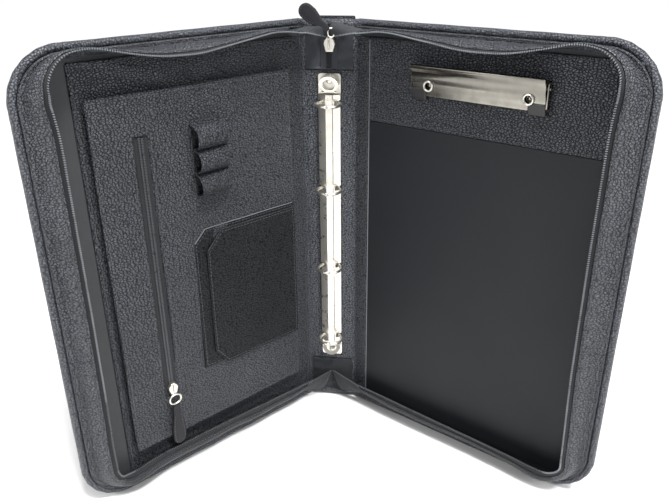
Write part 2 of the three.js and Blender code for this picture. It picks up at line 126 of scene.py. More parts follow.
LEFT = hinge_frame("left", -1)
RIGHT = hinge_frame("right", 1)
SPINE = Local((0, JOINTS["left_cover_hinge"]["pos_m"][1], 0), (1, 0, 0), (0, -1, 0), "spine")
HALF_SPINE = JOINTS["right_cover_hinge"]["pos_m"][0]
WIDTH, _, HEIGHT = RIGHT.span("right_edge_roll")[1]  # from the hinge line to the outer edge, and up
CORNER = 40 * MM
EDGE = 8.9 * MM
ROOT = 9.9 * MM  # where the gusset band is sewn in, from the outer edge


# ---- Materials --------------------------------------------------------------------------------

class Shader:
    """A node material built by short calls. A value that is a node is linked, any other is set."""

    def __init__(self, name):
        self.material = bpy.data.materials.new(name)
        self.material.use_nodes = True
        self.tree = self.material.node_tree
        self.bsdf = self.tree.nodes["Principled BSDF"]
        self.place = self.node("ShaderNodeTexCoord").outputs["Object"]

    def node(self, kind, inputs=None, **settings):
        made = self.tree.nodes.new(kind)
        for key, value in settings.items():
            setattr(made, key, value)
        for key, value in (inputs or {}).items():
            self.feed(made.inputs[key], value)
        return made

    def feed(self, socket, value):
        if isinstance(value, bpy.types.NodeSocket):
            self.tree.links.new(value, socket)
        else:
            socket.default_value = value

    def noise(self, scale, detail=2.0, place=None):
        inputs = {"Vector": place or self.place, "Scale": scale, "Detail": detail}
        return self.node("ShaderNodeTexNoise", inputs).outputs["Fac"]

    def math(self, operation, a, b=0.0):
        return self.node("ShaderNodeMath", {0: a, 1: b}, operation=operation).outputs[0]

    def span(self, value, low, high, to_low=0.0, to_high=1.0, smooth=False):
        kind = "SMOOTHSTEP" if smooth else "LINEAR"
        inputs = {"Value": value, "From Min": low, "From Max": high, "To Min": to_low, "To Max": to_high}
        return self.node("ShaderNodeMapRange", inputs, interpolation_type=kind).outputs["Result"]

    def blend(self, factor, a, b):
        made = self.node("ShaderNodeMix", {0: factor}, data_type="RGBA")
        self.feed(made.inputs[6], (*a, 1.0) if isinstance(a, tuple) else a)
        self.feed(made.inputs[7], (*b, 1.0) if isinstance(b, tuple) else b)
        return made.outputs[2]

    def warped(self, scale, amount):
        colour = self.node("ShaderNodeTexNoise", {"Vector": self.place, "Scale": scale}).outputs["Color"]
        offset = self.node("ShaderNodeVectorMath", {0: colour, "Scale": amount}, operation="SCALE").outputs[0]
        return self.node("ShaderNodeVectorMath", {0: self.place, 1: offset}, operation="ADD").outputs[0]

    def bump(self, height, distance, strength=1.0, under=None):
        inputs = {"Height": height, "Distance": distance, "Strength": strength}
        if under is not None:
            inputs["Normal"] = under
        return self.node("ShaderNodeBump", inputs).outputs["Normal"]

    def finish(self, **sockets):
        for key, value in sockets.items():
            if isinstance(value, tuple):
                value = (*value, 1.0)
            self.feed(self.bsdf.inputs[key.replace("_", " ")], value)
        return self.material


def leather(name, dark, light, pebble, depth, rough=(0.32, 0.46), creases=0.35, shine=0.3):
    """Pebbled leather: rounded, slightly drawn-out grains with painted-dark creases and painted-light crowns,
    and faint larger folds.
    """
    s = Shader(name)
    s.place = s.node("ShaderNodeAttribute", attribute_name="grain").outputs["Vector"]
    place = s.warped(1 / (2.2 * pebble), 1.7 * pebble)
    drawn = s.node("ShaderNodeMapping", {"Vector": place, "Scale": (0.78, 1.15, 1.0)}).outputs[0]
    inputs = {"Vector": drawn, "Scale": 1 / pebble}
    edges = s.node("ShaderNodeTexVoronoi", inputs, feature="DISTANCE_TO_EDGE", voronoi_dimensions="2D")
    grain = s.span(edges.outputs["Distance"], 0.0, 0.26, smooth=True)
    cells = s.node("ShaderNodeTexVoronoi", inputs, feature="F1", voronoi_dimensions="2D")
    each = s.node("ShaderNodeSeparateColor", {0: cells.outputs["Color"]}).outputs[0]
    worn = s.noise(15.0, 3.0)
    patch = s.span(s.noise(48.0, 2.0), 0.3, 0.7, 0.75, 1.0)
    tall = s.span(each, 0.0, 1.0, 0.72, 1.0)
    dome = s.span(cells.outputs["Distance"], 0.0, 0.7, 1.0, 0.0)
    height = s.math("ADD", s.math("MULTIPLY", grain, 0.6), s.math("MULTIPLY", dome, 0.6))
    height = s.math("MULTIPLY", s.math("MULTIPLY", height, tall), patch)
    folds = s.bump(s.noise(34.0, 2.0), 0.004, creases)
    normal = s.bump(height, depth, 1.0, folds)
    # Painted light and shade: each pebble's crown is painted lighter and the creases round it darker, as if
    # lit from above; the wear noise then varies this at random.
    crown = s.span(cells.outputs["Distance"], 0.05, 0.72, 1.0, 0.16)
    crown = s.math("MULTIPLY", s.math("MULTIPLY", grain, crown), tall)
    tint = s.math("MULTIPLY", crown, s.span(worn, 0.3, 0.7, 0.7, 1.0))
    return s.finish(
        Base_Color=s.blend(tint, dark, light),
        Roughness=s.span(worn, 0.3, 0.7, rough[0], rough[1]),
        Normal=normal,
        Specular_IOR_Level=shine,
    )


def cloth(name, dark, light, pitch, depth=0.0002, rough=0.85, sheen=0.15):
    """A plain weave: two crossed sets of threads in the row frame, with slubs."""
    s = Shader(name)
    place = s.warped(90.0, 0.4 * pitch)
    parts = s.node("ShaderNodeSeparateXYZ", {0: place})
    turn = 2 * math.pi / pitch
    across = s.math("ADD", parts.outputs[0], s.math("MULTIPLY", parts.outputs[1], 0.9))
    warp = s.math("SINE", s.math("MULTIPLY", across, turn))
    weft = s.math("SINE", s.math("MULTIPLY", parts.outputs[2], turn))
    weave = s.span(s.math("MULTIPLY", warp, weft), -1.0, 1.0)
    patch = s.noise(45.0, 4.0)
    tint = s.math("MULTIPLY", weave, s.span(patch, 0.25, 0.75, 0.4, 1.0))
    normal = s.bump(weave, depth, 0.8, s.bump(s.noise(70.0, 3.0), 0.002, 0.25))
    return s.finish(
        Base_Color=s.blend(tint, dark, light),
        Roughness=s.span(patch, 0.2, 0.8, rough - 0.08, rough + 0.06),
        Normal=normal,
        Sheen_Weight=sheen,
        Sheen_Roughness=0.5,
        Specular_IOR_Level=0.25,
    )


def metal(name, colour, rough, bands=0.0):
    """Plated metal: a faint brushing along the height, handling marks, uneven polish and painted dark
    reflection bands.
    """
    s = Shader(name)
    stretched = s.node("ShaderNodeMapping", {"Vector": s.place, "Scale": (1.0, 1.0, 0.06)}).outputs[0]
    brushed = s.noise(900.0, 3.0, stretched)
    marks = s.noise(120.0, 5.0)
    # Painted reflection: dark bands along the height stand in for the dark surroundings mirrored in the
    # metal.
    level = s.node("ShaderNodeMapping", {"Vector": s.place, "Scale": (0.08, 0.08, 1.0)}).outputs[0]
    painted_reflection_bands = s.span(s.noise(95.0, 1.0, level), 0.4, 0.62, 0.0, bands)
    shade = tuple(0.86 * c for c in colour)
    polished = s.blend(s.span(marks, 0.35, 0.75), colour, shade)
    return s.finish(
        Base_Color=s.blend(painted_reflection_bands, polished, tuple(0.25 * c for c in colour)),
        Metallic=1.0,
        Roughness=s.span(marks, 0.3, 0.7, rough[0], rough[1]),
        Normal=s.bump(brushed, 0.00002, 0.35, s.bump(s.noise(25.0, 1.0), 0.0006, 0.12)),
        Coat_Weight=0.0,
    )


def moulded(name, colour, rough=0.42):
    """Moulded plastic with a fine spark-eroded texture."""
    s = Shader(name)
    grain = s.noise(2600.0, 2.0)
    patch = s.noise(80.0, 3.0)
    return s.finish(
        Base_Color=s.blend(patch, colour, tuple(1.7 * c for c in colour)),
        Roughness=s.span(patch, 0.3, 0.7, rough - 0.06, rough + 0.1),
        Normal=s.bump(grain, 0.00008, 0.5),
    )


LEATHER = leather("pebbled_leather", (0.0035, 0.004, 0.005), (0.1, 0.107, 0.125), 2.0 * MM, 0.75 * MM)
# A darker copy of the cover leather, for the card pockets: painted shade.
LEATHER_PAINTED_SHADE = leather(
    "painted_shade_leather", (0.002, 0.0022, 0.0026), (0.04, 0.0425, 0.048), 2.0 * MM, 0.42 * MM,
    (0.34, 0.48), 0.35, 0.12,
)
LEATHER_SMOOTH = leather(
    "softened_leather", (0.01, 0.011, 0.0135), (0.12, 0.128, 0.15), 1.8 * MM, 0.3 * MM, (0.34, 0.48), 0.7
)
# Lighter copies of the cover leather for the spine, the padded edges and the band: their extra brightness is
# painted light, for where more light falls from above; their grain settings are their own.
LEATHER_SPINE_PAINTED_LIGHT = leather("spine_leather", (0.01, 0.011, 0.0135), (0.175, 0.187, 0.217), 1.9 * MM, 0.6 * MM)
LEATHER_EDGE_PAINTED_LIGHT = leather(
    "padded_edge_leather", (0.01, 0.011, 0.0135), (0.14, 0.149, 0.177), 2.1 * MM, 0.5 * MM,
    (0.3, 0.42), 0.9, 0.4,
)
LEATHER_BAND_PAINTED_LIGHT = leather(
    "band_leather", (0.005, 0.0055, 0.007), (0.128, 0.137, 0.16), 2.0 * MM, 0.7 * MM,
    (0.28, 0.42), 0.9, 0.4,
)
# A darker copy of the band leather for the band's bottom run, which faces away from the light: painted shade.
FOOT_LEATHER_PAINTED_SHADE = leather(
    "band_foot_painted_shade", (0.005, 0.0055, 0.0068), (0.036, 0.039, 0.046), 1.6 * MM, 0.14 * MM,
    (0.4, 0.52), 0.9, 0.28,
)
TONGUE = leather(
    "tongue_leather", (0.009, 0.009, 0.0115), (0.02, 0.021, 0.025), 1.2 * MM, 0.06 * MM,
    (0.5, 0.65), 0.2, 0.25,
)
# A light line laid along cut edges: painted highlight.
EDGE_HIGHLIGHT = moulded("painted_edge_highlight", (0.1, 0.105, 0.115), 0.4)
LINING = cloth("charcoal_lining", (0.03, 0.031, 0.033), (0.055, 0.058, 0.062), 0.5 * MM, 0.00006, 0.7, 0.05)
PANEL = leather(
    "smooth_panel", (0.009, 0.0102, 0.0122), (0.015, 0.0168, 0.0198), 0.8 * MM, 0.03 * MM,
    (0.42, 0.54), 0.1, 0.22,
)
GUSSET = cloth("gusset_cloth", (0.008, 0.0095, 0.0115), (0.034, 0.038, 0.044), 0.6 * MM)
SATIN = cloth("satin_cloth", (0.012, 0.0135, 0.018), (0.05, 0.056, 0.07), 0.5 * MM, 0.0001, 0.38, 0.2)
TAPE = cloth("zip_tape", (0.004, 0.0045, 0.005), (0.02, 0.022, 0.025), 0.9 * MM, 0.0003, 0.8, 0.15)
# Two copies of one coil colour: the lighter stands for teeth catching the light, a painted highlight; the
# darker is painted shade, for the bottom runs and the pocket's recessed slot.
COIL = moulded("zip_coil", (0.13, 0.137, 0.15), 0.3)
COIL_PAINTED_SHADE = moulded("coil_painted_shade", (0.05, 0.053, 0.058), 0.3)
THREAD = cloth("thread", (0.02, 0.021, 0.023), (0.09, 0.092, 0.1), 0.35 * MM, 0.00015, 0.6, 0.3)
BOARD = cloth("grey_board", (0.16, 0.15, 0.13), (0.24, 0.22, 0.19), 0.8 * MM, 0.0001, 0.9, 0.0)
NICKEL = metal("nickel", (0.78, 0.75, 0.68), (0.24, 0.38))
# The clip's chrome is set darker than the nickel and given the dark bands: a painted reflection of dark
# surroundings.
CHROME_PAINTED_REFLECTION = metal("chrome", (0.36, 0.342, 0.3), (0.14, 0.26), 0.75)
JAW = moulded("jaw_plastic", (0.008, 0.008, 0.009), 0.35)


# ---- Mesh helpers -----------------------------------------------------------------------------

def piece(name, points, faces, material, body, slot, sharp=40):
    """One closed mesh, with its faces turned outward, riding on a body."""
    mesh = bpy.data.meshes.new(name)
    points = np.asarray(points, float)
    if points.shape[-1] == 5:
        points, flat = points[:, :3], points[:, 3:]
    else:
        points = points.reshape(-1, 3)
        flat = np.stack([0.8 * points[:, 0] + 0.6 * points[:, 1], points[:, 2]], axis=1)
    mesh.from_pydata([tuple(p) for p in points], [], faces)
    grain = mesh.attributes.new("grain", "FLOAT_VECTOR", "POINT")
    grain.data.foreach_set("vector", np.column_stack([flat, np.zeros(len(flat))]).astype(np.float32).ravel())
    turn_outward(mesh)
    mesh.materials.append(material)
    mesh.shade_smooth()
    mesh.set_sharp_from_angle(angle=math.radians(sharp))
    made = bpy.data.objects.new(name, mesh)
    bpy.context.scene.collection.objects.link(made)
    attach(made, body)
    return made


def turn_outward(mesh):
    work = bmesh.new()
    work.from_mesh(mesh)
    bmesh.ops.recalc_face_normals(work, faces=work.faces)
    work.to_mesh(mesh)
    work.free()


def strip_faces(rows, cols, start=0, wrap_rows=False, wrap_cols=False):
    """Quads of a rows by cols grid of points, numbered row by row."""
    faces = []
    for i in range(rows if wrap_rows else rows - 1):
        for j in range(cols if wrap_cols else cols - 1):
            a, b = i * cols + j, i * cols + (j + 1) % cols
            c, d = ((i + 1) % rows) * cols + (j + 1) % cols, ((i + 1) % rows) * cols + j
            faces.append((start + a, start + b, start + c, start + d))
    return faces


def unrolled(grid, closed=False):
    """How far each point of a grid is along its rows and its columns, as if the surface were laid flat."""
    down = np.linalg.norm(np.diff(grid, axis=0), axis=-1).mean(1)
    across = np.linalg.norm(np.diff(grid, axis=1), axis=-1)
    along = np.concatenate([np.zeros((len(grid), 1)), np.cumsum(across, axis=1)], axis=1)
    if not closed:
        along = along - along.mean(axis=1, keepdims=True)
    first = np.broadcast_to(np.concatenate([[0], np.cumsum(down)])[:, None], along.shape)
    return np.stack([along, first], axis=-1).reshape(-1, 2)


def shell(top, bottom):
    """Points, with their places on the flat skin, and faces of the closed solid between two grids."""
    rows, cols = top.shape[:2]
    count = rows * cols
    faces = strip_faces(rows, cols) + [f[::-1] for f in strip_faces(rows, cols, count)]
    rim = [(0, j) for j in range(cols - 1)] + [(i, cols - 1) for i in range(rows - 1)]
    rim += [(rows - 1, j) for j in range(cols - 1, 0, -1)] + [(i, 0) for i in range(rows - 1, 0, -1)]
    ring = [i * cols + j for i, j in rim]
    for a, b in zip(ring, ring[1:] + ring[:1]):
        faces.append((a, b, b + count, a + count))
    points = np.concatenate([top.reshape(-1, 3), bottom.reshape(-1, 3)])
    return np.column_stack([points, np.tile(unrolled(top), (2, 1))]), faces


def sleeve(rings):
    """A closed tube from a list of rings, capped at both ends."""
    rows, cols = rings.shape[:2]
    faces = strip_faces(rows, cols, wrap_cols=True)
    faces.append(tuple(range(cols))[::-1])
    faces.append(tuple((rows - 1) * cols + j for j in range(cols)))
    return np.column_stack([rings.reshape(-1, 3), unrolled(rings, True)]), faces


def waves(x, y, seed, size):
    """A smooth wandering value between about -1 and 1, the same each run. size is the wavelength."""
    rng = np.random.default_rng(seed)
    total = 0.0
    for _ in range(5):
        angle, phase, stretch = rng.uniform(0, 2 * np.pi), rng.uniform(0, 2 * np.pi), rng.uniform(0.7, 1.6)
        total = total + np.sin(2 * np.pi * (x * np.cos(angle) + y * np.sin(angle)) * stretch / size + phase)
    return total / 3.2


def arc_points(cx, cy, radius, start, stop, count):
    angles = np.radians(np.linspace(start, stop, count))
    return [(cx + radius * math.cos(a), cy + radius * math.sin(a)) for a in angles]


def rounded(u0, z0, u1, z1, radius, count=6):
    """The outline of a rectangle with round corners."""
    return (
        arc_points(u1 - radius, z0 + radius, radius, -90, 0, count)
        + arc_points(u1 - radius, z1 - radius, radius, 0, 90, count)
        + arc_points(u0 + radius, z1 - radius, radius, 90, 180, count)
        + arc_points(u0 + radius, z0 + radius, radius, 180, 270, count)
    )


def outline_distance(outline, u, z):
    """How far each point is from the nearest side of an outline."""
    corners = np.array(outline, float)
    best = np.full(np.shape(u), np.inf)
    for a, b in zip(corners, np.roll(corners, -1, axis=0)):
        d = b - a
        length = max(d @ d, 1e-18)
        t = np.clip(((u - a[0]) * d[0] + (z - a[1]) * d[1]) / length, 0, 1)
        best = np.minimum(best, np.hypot(u - a[0] - t * d[0], z - a[1] - t * d[1]))
    return best


def margin_steps(edge):
    return edge * np.array([0.0, 0.08, 0.25, 0.5, 0.8, 1.15, 1.8])


def middle_of(low, high):
    """The (u, z) in the middle of a span."""
    return (low[0] + high[0]) / 2, (low[2] + high[2]) / 2


def chord(outline, z):
    """Where the line at height z enters and leaves a convex outline."""
    corners = np.array(outline, float)
    hits = []
    for a, b in zip(corners, np.roll(corners, -1, axis=0)):
        if (a[1] - z) * (b[1] - z) <= 0 and a[1] != b[1]:
            hits.append(a[0] + (b[0] - a[0]) * (z - a[1]) / (b[1] - a[1]))
    return min(hits), max(hits)


def panel_grid(outline, edge, step):
    """A grid of (u, z) that fills a convex outline, finer near its sides."""
    corners = np.array(outline, float)
    low, high = corners[:, 1].min(), corners[:, 1].max()
    near = margin_steps(edge)
    count = max(3, int((high - low - 2 * near[-1]) / step))
    inner = np.linspace(low + near[-1], high - near[-1], count)[1:-1]
    heights = np.concatenate([low + near, inner, (high - near)[::-1], corners[:, 1]])
    heights = np.unique(np.round(np.clip(heights, low + 1e-6, high - 1e-6), 7))
    widest = corners[:, 0].max() - corners[:, 0].min()
    middle = max(3, int((widest - 2 * near[-1]) / step))
    share = np.linspace(0, 1, middle)[1:-1]
    rows = []
    for z in heights:
        u0, u1 = chord(outline, z)
        reach = near * min(1.0, (u1 - u0) / (4 * near[-1]))
        a, b = u0 + reach[-1], u1 - reach[-1]
        us = np.concatenate([u0 + reach, a + (b - a) * share, (u1 - reach)[::-1]])
        rows.append(columns(us, z))
    return np.array(rows)


def panel_surface(outline, high, edge, relief=None):
    """The height n of a panel's face: flat or in relief, and rounded off round its outline."""
    def height(u, z):
        d = np.clip(outline_distance(outline, u, z) / edge, 0, 1)
        rounding = edge * (1 - np.sqrt(np.clip(1 - (1 - d) ** 2, 0, 1)))
        top = high + (relief(u, z) * np.clip(3 * d, 0, 1) if relief else 0.0)
        return top - rounding
    return height


def panel(name, loc, outline, low, high, material, slot, edge=1.0 * MM, step=5 * MM, relief=None, body=None):
    """A sheet of leather or board with a rounded edge. Returns the piece and its face's height."""
    grid = panel_grid(outline, edge, step)
    height = panel_surface(outline, high, edge, relief)
    u, z = grid[..., 0], grid[..., 1]
    points, faces = shell(loc.at(u, height(u, z), z), loc.at(u, low, z))
    return piece(name, points, faces, material, body or loc.body, slot), height


def fitted(name, loc, node, corner, material, slot, edge, step, relief=None, count=6):
    """A sheet with round corners in a CAD node's place: the piece, its face's height, outline and span."""
    low, high = loc.span(node)
    outline = rounded(low[0], low[2], high[0], high[2], corner, count)
    made, face = panel(name, loc, outline, low[1], high[1], material, slot, edge, step, relief)
    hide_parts(node)
    return made, face, outline, low, high


def capsule(sides=6):
    """Rings of a unit capsule along x, for stitches and teeth."""
    rings = []
    for x, r in ((-0.5, 0.35), (-0.36, 0.85), (0.0, 1.0), (0.36, 0.85), (0.5, 0.35)):
        a = np.linspace(0, 2 * np.pi, sides, endpoint=False)
        rings.append(columns(x, 0.5 * r * np.cos(a), 0.5 * r * np.sin(a)))
    return np.array(rings)


def beads(name, centres, ways, ups, size, material, body, slot, sides=6):
    """Many small capsules, each with its middle, its long direction and its up direction."""
    ways = ways / np.linalg.norm(ways, axis=1, keepdims=True)
    sides_way = np.cross(ups, ways)
    sides_way /= np.linalg.norm(sides_way, axis=1, keepdims=True)
    ups = np.cross(ways, sides_way)
    template = capsule(sides) * np.array(size)
    rings = centres[:, None, None, :] + sum(
        template[None, ..., k, None] * axis[:, None, None, :] for k, axis in enumerate((ways, sides_way, ups))
    )
    rows, count = template.shape[:2]
    one = strip_faces(rows, count, wrap_cols=True)
    one += [tuple(range(count))[::-1], tuple((rows - 1) * count + j for j in range(count))]
    faces = [tuple(i * rows * count + k for k in face) for i in range(len(centres)) for face in one]
    return piece(name, rings.reshape(-1, 3), faces, material, body, slot, 60)


def walk(path, pitch, closed=False):
    """Points at an even pitch along a path of points, and the directions there."""
    line = np.array(path, float)
    if closed:
        line = np.concatenate([line, line[:1]])
    steps = np.linalg.norm(np.diff(line, axis=0), axis=1)
    along = np.concatenate([[0], np.cumsum(steps)])
    count = max(2, int(along[-1] / pitch))
    at = (np.arange(count) + 0.5) * along[-1] / count

    def on_line(distance):
        return columns(*(np.interp(distance, along, line[:, k]) for k in range(line.shape[1])))

    return on_line(at), on_line(at + 0.3 * pitch) - on_line(at - 0.3 * pitch)


STITCH = np.array([2.3, 0.62, 0.5]) * MM
STITCH_PITCH = 3.3 * MM
TOOTH = np.array([1.7, 0.9, 1.4]) * MM
TOOTH_PITCH = 1.7 * MM


def stitches(name, loc, path, height, closed=False):
    """A line of stitches along (u, z) points, lying on a face."""
    places, ways = walk(path, STITCH_PITCH, closed)
    u, z = places[:, 0], places[:, 1]
    n = height(u, z) if callable(height) else np.full_like(u, height)
    centres = loc.at(u, n + 0.06 * MM, z)
    directions = columns(ways[:, 0], 0.0, ways[:, 1]) @ loc.axes
    ups = np.tile(loc.axes[1], (len(u), 1))
    return beads(name, centres, directions, ups, STITCH, THREAD, loc.body, "leather")


def inset(outline, distance):
    """An outline moved inward by a distance, for convex outlines that run anticlockwise."""
    corners = np.array(outline, float)
    ahead = np.roll(corners, -1, axis=0) - corners
    keep = np.linalg.norm(ahead, axis=1) > 1e-7
    corners = corners[keep]
    ahead = np.roll(corners, -1, axis=0) - corners
    ahead /= np.linalg.norm(ahead, axis=1, keepdims=True)
    before = np.roll(ahead, 1, axis=0)
    normals = columns(-ahead[:, 1], ahead[:, 0])
    earlier = columns(-before[:, 1], before[:, 0])
    share = distance / (1 + (normals * earlier).sum(1))
    return corners + (normals + earlier) * share[:, None]


def frames_along(line, closed):
    """Two directions across a curve at each point, turning as little as they can."""
    ahead = (np.roll(line, -1, axis=0) - np.roll(line, 1, axis=0)) if closed else np.gradient(line, axis=0)
    ahead = ahead / np.linalg.norm(ahead, axis=1, keepdims=True)
    start = np.array((0.0, 0.0, 1.0)) if abs(ahead[0][2]) < 0.8 else np.array((1.0, 0.0, 0.0))
    side = np.cross(ahead[0], start)
    side /= np.linalg.norm(side)
    sides = []
    for way in ahead:
        side = side - (side @ way) * way
        side = side / np.linalg.norm(side)
        sides.append(side)
    sides = np.array(sides)
    return sides, np.cross(ahead, sides)


def tube(line, radius, sides=14, closed=False):
    """Points and faces of a round wire along a line of points. radius may be one per point."""
    line = np.array(line, float)
    across, up = frames_along(line, closed)
    radii = np.broadcast_to(radius, (len(line),))[:, None, None]
    a = np.linspace(0, 2 * np.pi, sides, endpoint=False)[None, :, None]
    rings = line[:, None] + radii * (np.cos(a) * across[:, None] + np.sin(a) * up[:, None])
    if closed:
        return rings.reshape(-1, 3), strip_faces(len(line), sides, wrap_rows=True, wrap_cols=True)
    return sleeve(rings)


def smooth_line(points, count):
    """A Catmull-Rom curve through points."""
    p = np.array(points, float)
    last = len(p) - 1
    made = []
    for t in np.linspace(0, last, count):
        i = min(int(t), last - 1)
        f = t - i
        a, b, c, d = (p[min(max(i + k, 0), last)] for k in (-1, 0, 1, 2))
        square, cube = 2 * a - 5 * b + 4 * c - d, 3 * b - a - 3 * c + d
        made.append(0.5 * (2 * b + (c - a) * f + square * f**2 + cube * f**3))
    return np.array(made)


# ---- Camera, light and floor ------------------------------------------------------------------

def look():
    """The photo's camera: from the right of the spine, above, looking down and a little left."""
    yaw, pitch, roll = math.radians(-8.17), math.radians(24.44), math.radians(-0.49)
    ahead = Vector((math.sin(yaw) * math.cos(pitch), math.cos(yaw) * math.cos(pitch), -math.sin(pitch)))
    right = Vector((math.cos(yaw), -math.sin(yaw), 0))
    up = right.cross(ahead)
    turned = math.cos(roll) * right + math.sin(roll) * up
    upright = -math.sin(roll) * right + math.cos(roll) * up
    lens = bpy.data.cameras.new("camera")
    lens.sensor_width = 36
    lens.lens = 37.23
    lens.clip_start, lens.clip_end = 0.01, 20
    made = bpy.data.objects.new("camera", lens)
    bpy.context.scene.collection.objects.link(made)
    turn = Matrix((turned, upright, -ahead)).transposed().to_4x4()
    made.matrix_world = Matrix.Translation(Vector((91.67, -616.58, 452.78)) * MM) @ turn
    bpy.context.scene.camera = made


def area_light(name, place, target, size, power):
    data = bpy.data.lights.new(name, "AREA")
    data.shape = "RECTANGLE"
    data.size, data.size_y = size
    data.energy = power
    made = bpy.data.objects.new(name, data)
    bpy.context.scene.collection.objects.link(made)
    made.location = place
    made.rotation_euler = (Vector(target) - Vector(place)).to_track_quat("-Z", "Y").to_euler()


def studio():
    world = bpy.data.worlds.new("studio")
    world.use_nodes = True
    world.node_tree.nodes["Background"].inputs["Color"].default_value = (1.0, 1.0, 1.0, 1.0)
    world.node_tree.nodes["Background"].inputs["Strength"].default_value = 0.34
    bpy.context.scene.world = world
    bpy.context.scene.view_settings.view_transform = "Standard"
    key = bpy.data.lights.new("key", "SUN")
    key.energy, key.angle = 2.9, math.radians(9)
    made = bpy.data.objects.new("key", key)
    bpy.context.scene.collection.objects.link(made)
    made.rotation_euler = (-Vector((0.35, -0.42, 1.0))).to_track_quat("-Z", "Y").to_euler()
    area_light("overhead", (0.1, -0.25, 1.25), (0.02, -0.05, 0.2), (0.9, 0.35), 12)
    area_light("right_window", (1.2, -0.9, 0.9), (0.0, -0.05, 0.2), (0.4, 0.7), 11)
    area_light("left_fill", (-1.1, -1.0, 0.9), (0.05, -0.05, 0.2), (0.4, 0.7), 9)
    s = Shader("floor")
    s.finish(Base_Color=s.blend(s.noise(6.0, 2.0), (0.9, 0.9, 0.9), (0.92, 0.92, 0.92)), Roughness=0.9)
    reach, drop = 6.0, 0.0004
    mesh = bpy.data.meshes.new("floor")
    mesh.from_pydata([(-reach, -reach, -drop), (reach, -reach, -drop), (reach, reach, -drop),
                      (-reach, reach, -drop)],
                     [], [(0, 1, 2, 3)])
    mesh.materials.append(s.material)
    made = bpy.data.objects.new("floor", mesh)
    bpy.context.scene.collection.objects.link(made)


def flipped(loc):
    """The same frame seen from outside: n grows outward."""
    return Local(loc.origin, loc.axes[0], -loc.axes[1], loc.body)


def refined(node, material, bevel=0.25 * MM, sharp=35):
    """A metal or plastic CAD part with its own shape, its edges broken and its round faces smooth."""
    source = frame["nodes"][node]
    mesh = source.data.copy()
    mesh.name = f"{node}_shown"
    for layer in list(mesh.attributes):
        if layer.name.startswith("_FK"):
            mesh.attributes.remove(layer)
    work = bmesh.new()
    work.from_mesh(mesh)
    bmesh.ops.remove_doubles(work, verts=work.verts, dist=1e-6)
    bmesh.ops.dissolve_limit(work, angle_limit=math.radians(0.5), verts=work.verts, edges=work.edges)
    work.to_mesh(mesh)
    work.free()
    mesh.materials.clear()
    mesh.materials.append(material)
    mesh.shade_smooth()
    mesh.set_sharp_from_angle(angle=math.radians(sharp))
    made = bpy.data.objects.new(f"{node}_shown", mesh)
    bpy.context.scene.collection.objects.link(made)
    if bevel:
        edge = made.modifiers.new("edge", "BEVEL")
        edge.width, edge.segments, edge.limit_method = bevel, 2, "ANGLE"
        edge.angle_limit = math.radians(sharp)
    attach(made, source["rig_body"])
    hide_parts(node)
    return made


# ---- Round the edge of a cover ----------------------------------------------------------------

BAND_START = 15 * MM
STRAIGHT = WIDTH - CORNER
UPRIGHT = HEIGHT - 2 * CORNER
TURN = (CORNER - ROOT) * math.pi / 2
TOTAL = 2 * STRAIGHT + 2 * TURN + UPRIGHT

# How far the gusset band is folded up off the cover, in degrees, along its way from the top of the hinge
# round to the bottom: 0 lies flat inward, 90 stands up. The angles follow an estimate that a scratch script
# made from the zip's line in the photograph, as report.md says. They are not all chosen by hand.
FOLD = {
    "left": [(0, 88), (0.02, 92), (0.05, 102), (0.1, 88), (0.14, 75), (0.18, 79), (0.22, 98), (0.245, 113),
             (0.27, 100), (0.3, 60), (0.34, 47), (0.5, 45), (0.6, 48), (0.66, 52), (0.7, 48), (0.73, 35),
             (0.77, 27), (0.86, 29), (0.92, 33), (1, 38)],
    "right": [(0, 88), (0.02, 92), (0.05, 102), (0.1, 87), (0.14, 75), (0.18, 78), (0.22, 98), (0.245, 112),
              (0.27, 94), (0.3, 52), (0.34, 40), (0.45, 37), (0.58, 41), (0.65, 50), (0.7, 56), (0.74, 50),
              (0.79, 46), (0.87, 42), (0.94, 38), (1, 36)],
}


def rim(share, inside):
    """(u, z) of the point at a share of the way round the edge and this far in, and the inward direction."""
    share = np.atleast_1d(share)
    at = share * TOTAL
    radius = CORNER - inside
    u, z, iu, iz = (np.zeros_like(at) for _ in range(4))
    for k, s in enumerate(at):
        if s < STRAIGHT:
            u[k], z[k], iu[k], iz[k] = s, HEIGHT - inside, 0, -1
        elif s < STRAIGHT + TURN:
            a = math.pi / 2 * (1 - (s - STRAIGHT) / TURN)
            c, n = math.cos(a), math.sin(a)
            u[k], z[k], iu[k], iz[k] = STRAIGHT + radius * c, HEIGHT - CORNER + radius * n, -c, -n
        elif s < STRAIGHT + TURN + UPRIGHT:
            u[k], z[k], iu[k], iz[k] = WIDTH - inside, HEIGHT - CORNER - (s - STRAIGHT - TURN), -1, 0
        elif s < TOTAL - STRAIGHT:
            a = -math.pi / 2 * (s - STRAIGHT - TURN - UPRIGHT) / TURN
            c, n = math.cos(a), math.sin(a)
            u[k], z[k], iu[k], iz[k] = STRAIGHT + radius * c, CORNER + radius * n, -c, -n
        else:
            u[k], z[k], iu[k], iz[k] = TOTAL - s, inside, 0, 1
    return columns(u, z), columns(iu, iz)


def stations(first, last, pitch=2.2 * MM):
    return np.linspace(first, last, int((last - first) * TOTAL / pitch))


def corner_weight(share):
    """1 in the round corners and 0 on the straight runs."""
    at = np.asarray(share) * TOTAL
    top = np.exp(-(((at - STRAIGHT - TURN / 2) / (0.6 * TURN)) ** 2))
    low = np.exp(-(((at - TOTAL + STRAIGHT + TURN / 2) / (0.6 * TURN)) ** 2))
    return top + low


def fold_at(side, share):
    table = np.array(FOLD[side], float)
    angle = np.interp(share, table[:, 0], table[:, 1])
    around = [np.interp(np.clip(share + d, 0, 1), table[:, 0], table[:, 1]) for d in (-0.012, -0.006, 0.006,
                                                                                      0.012)]
    return np.radians((angle + sum(around)) / 5)


BAND_WIDTH = 22 * MM
BAND_SEAM_Z = 150 * MM  # the height of the seam across the band
FOOT_SHARE = 0.7  # where the bottom run begins, and where the lower corner's cup is deepest
CUP_SHARE = 0.752


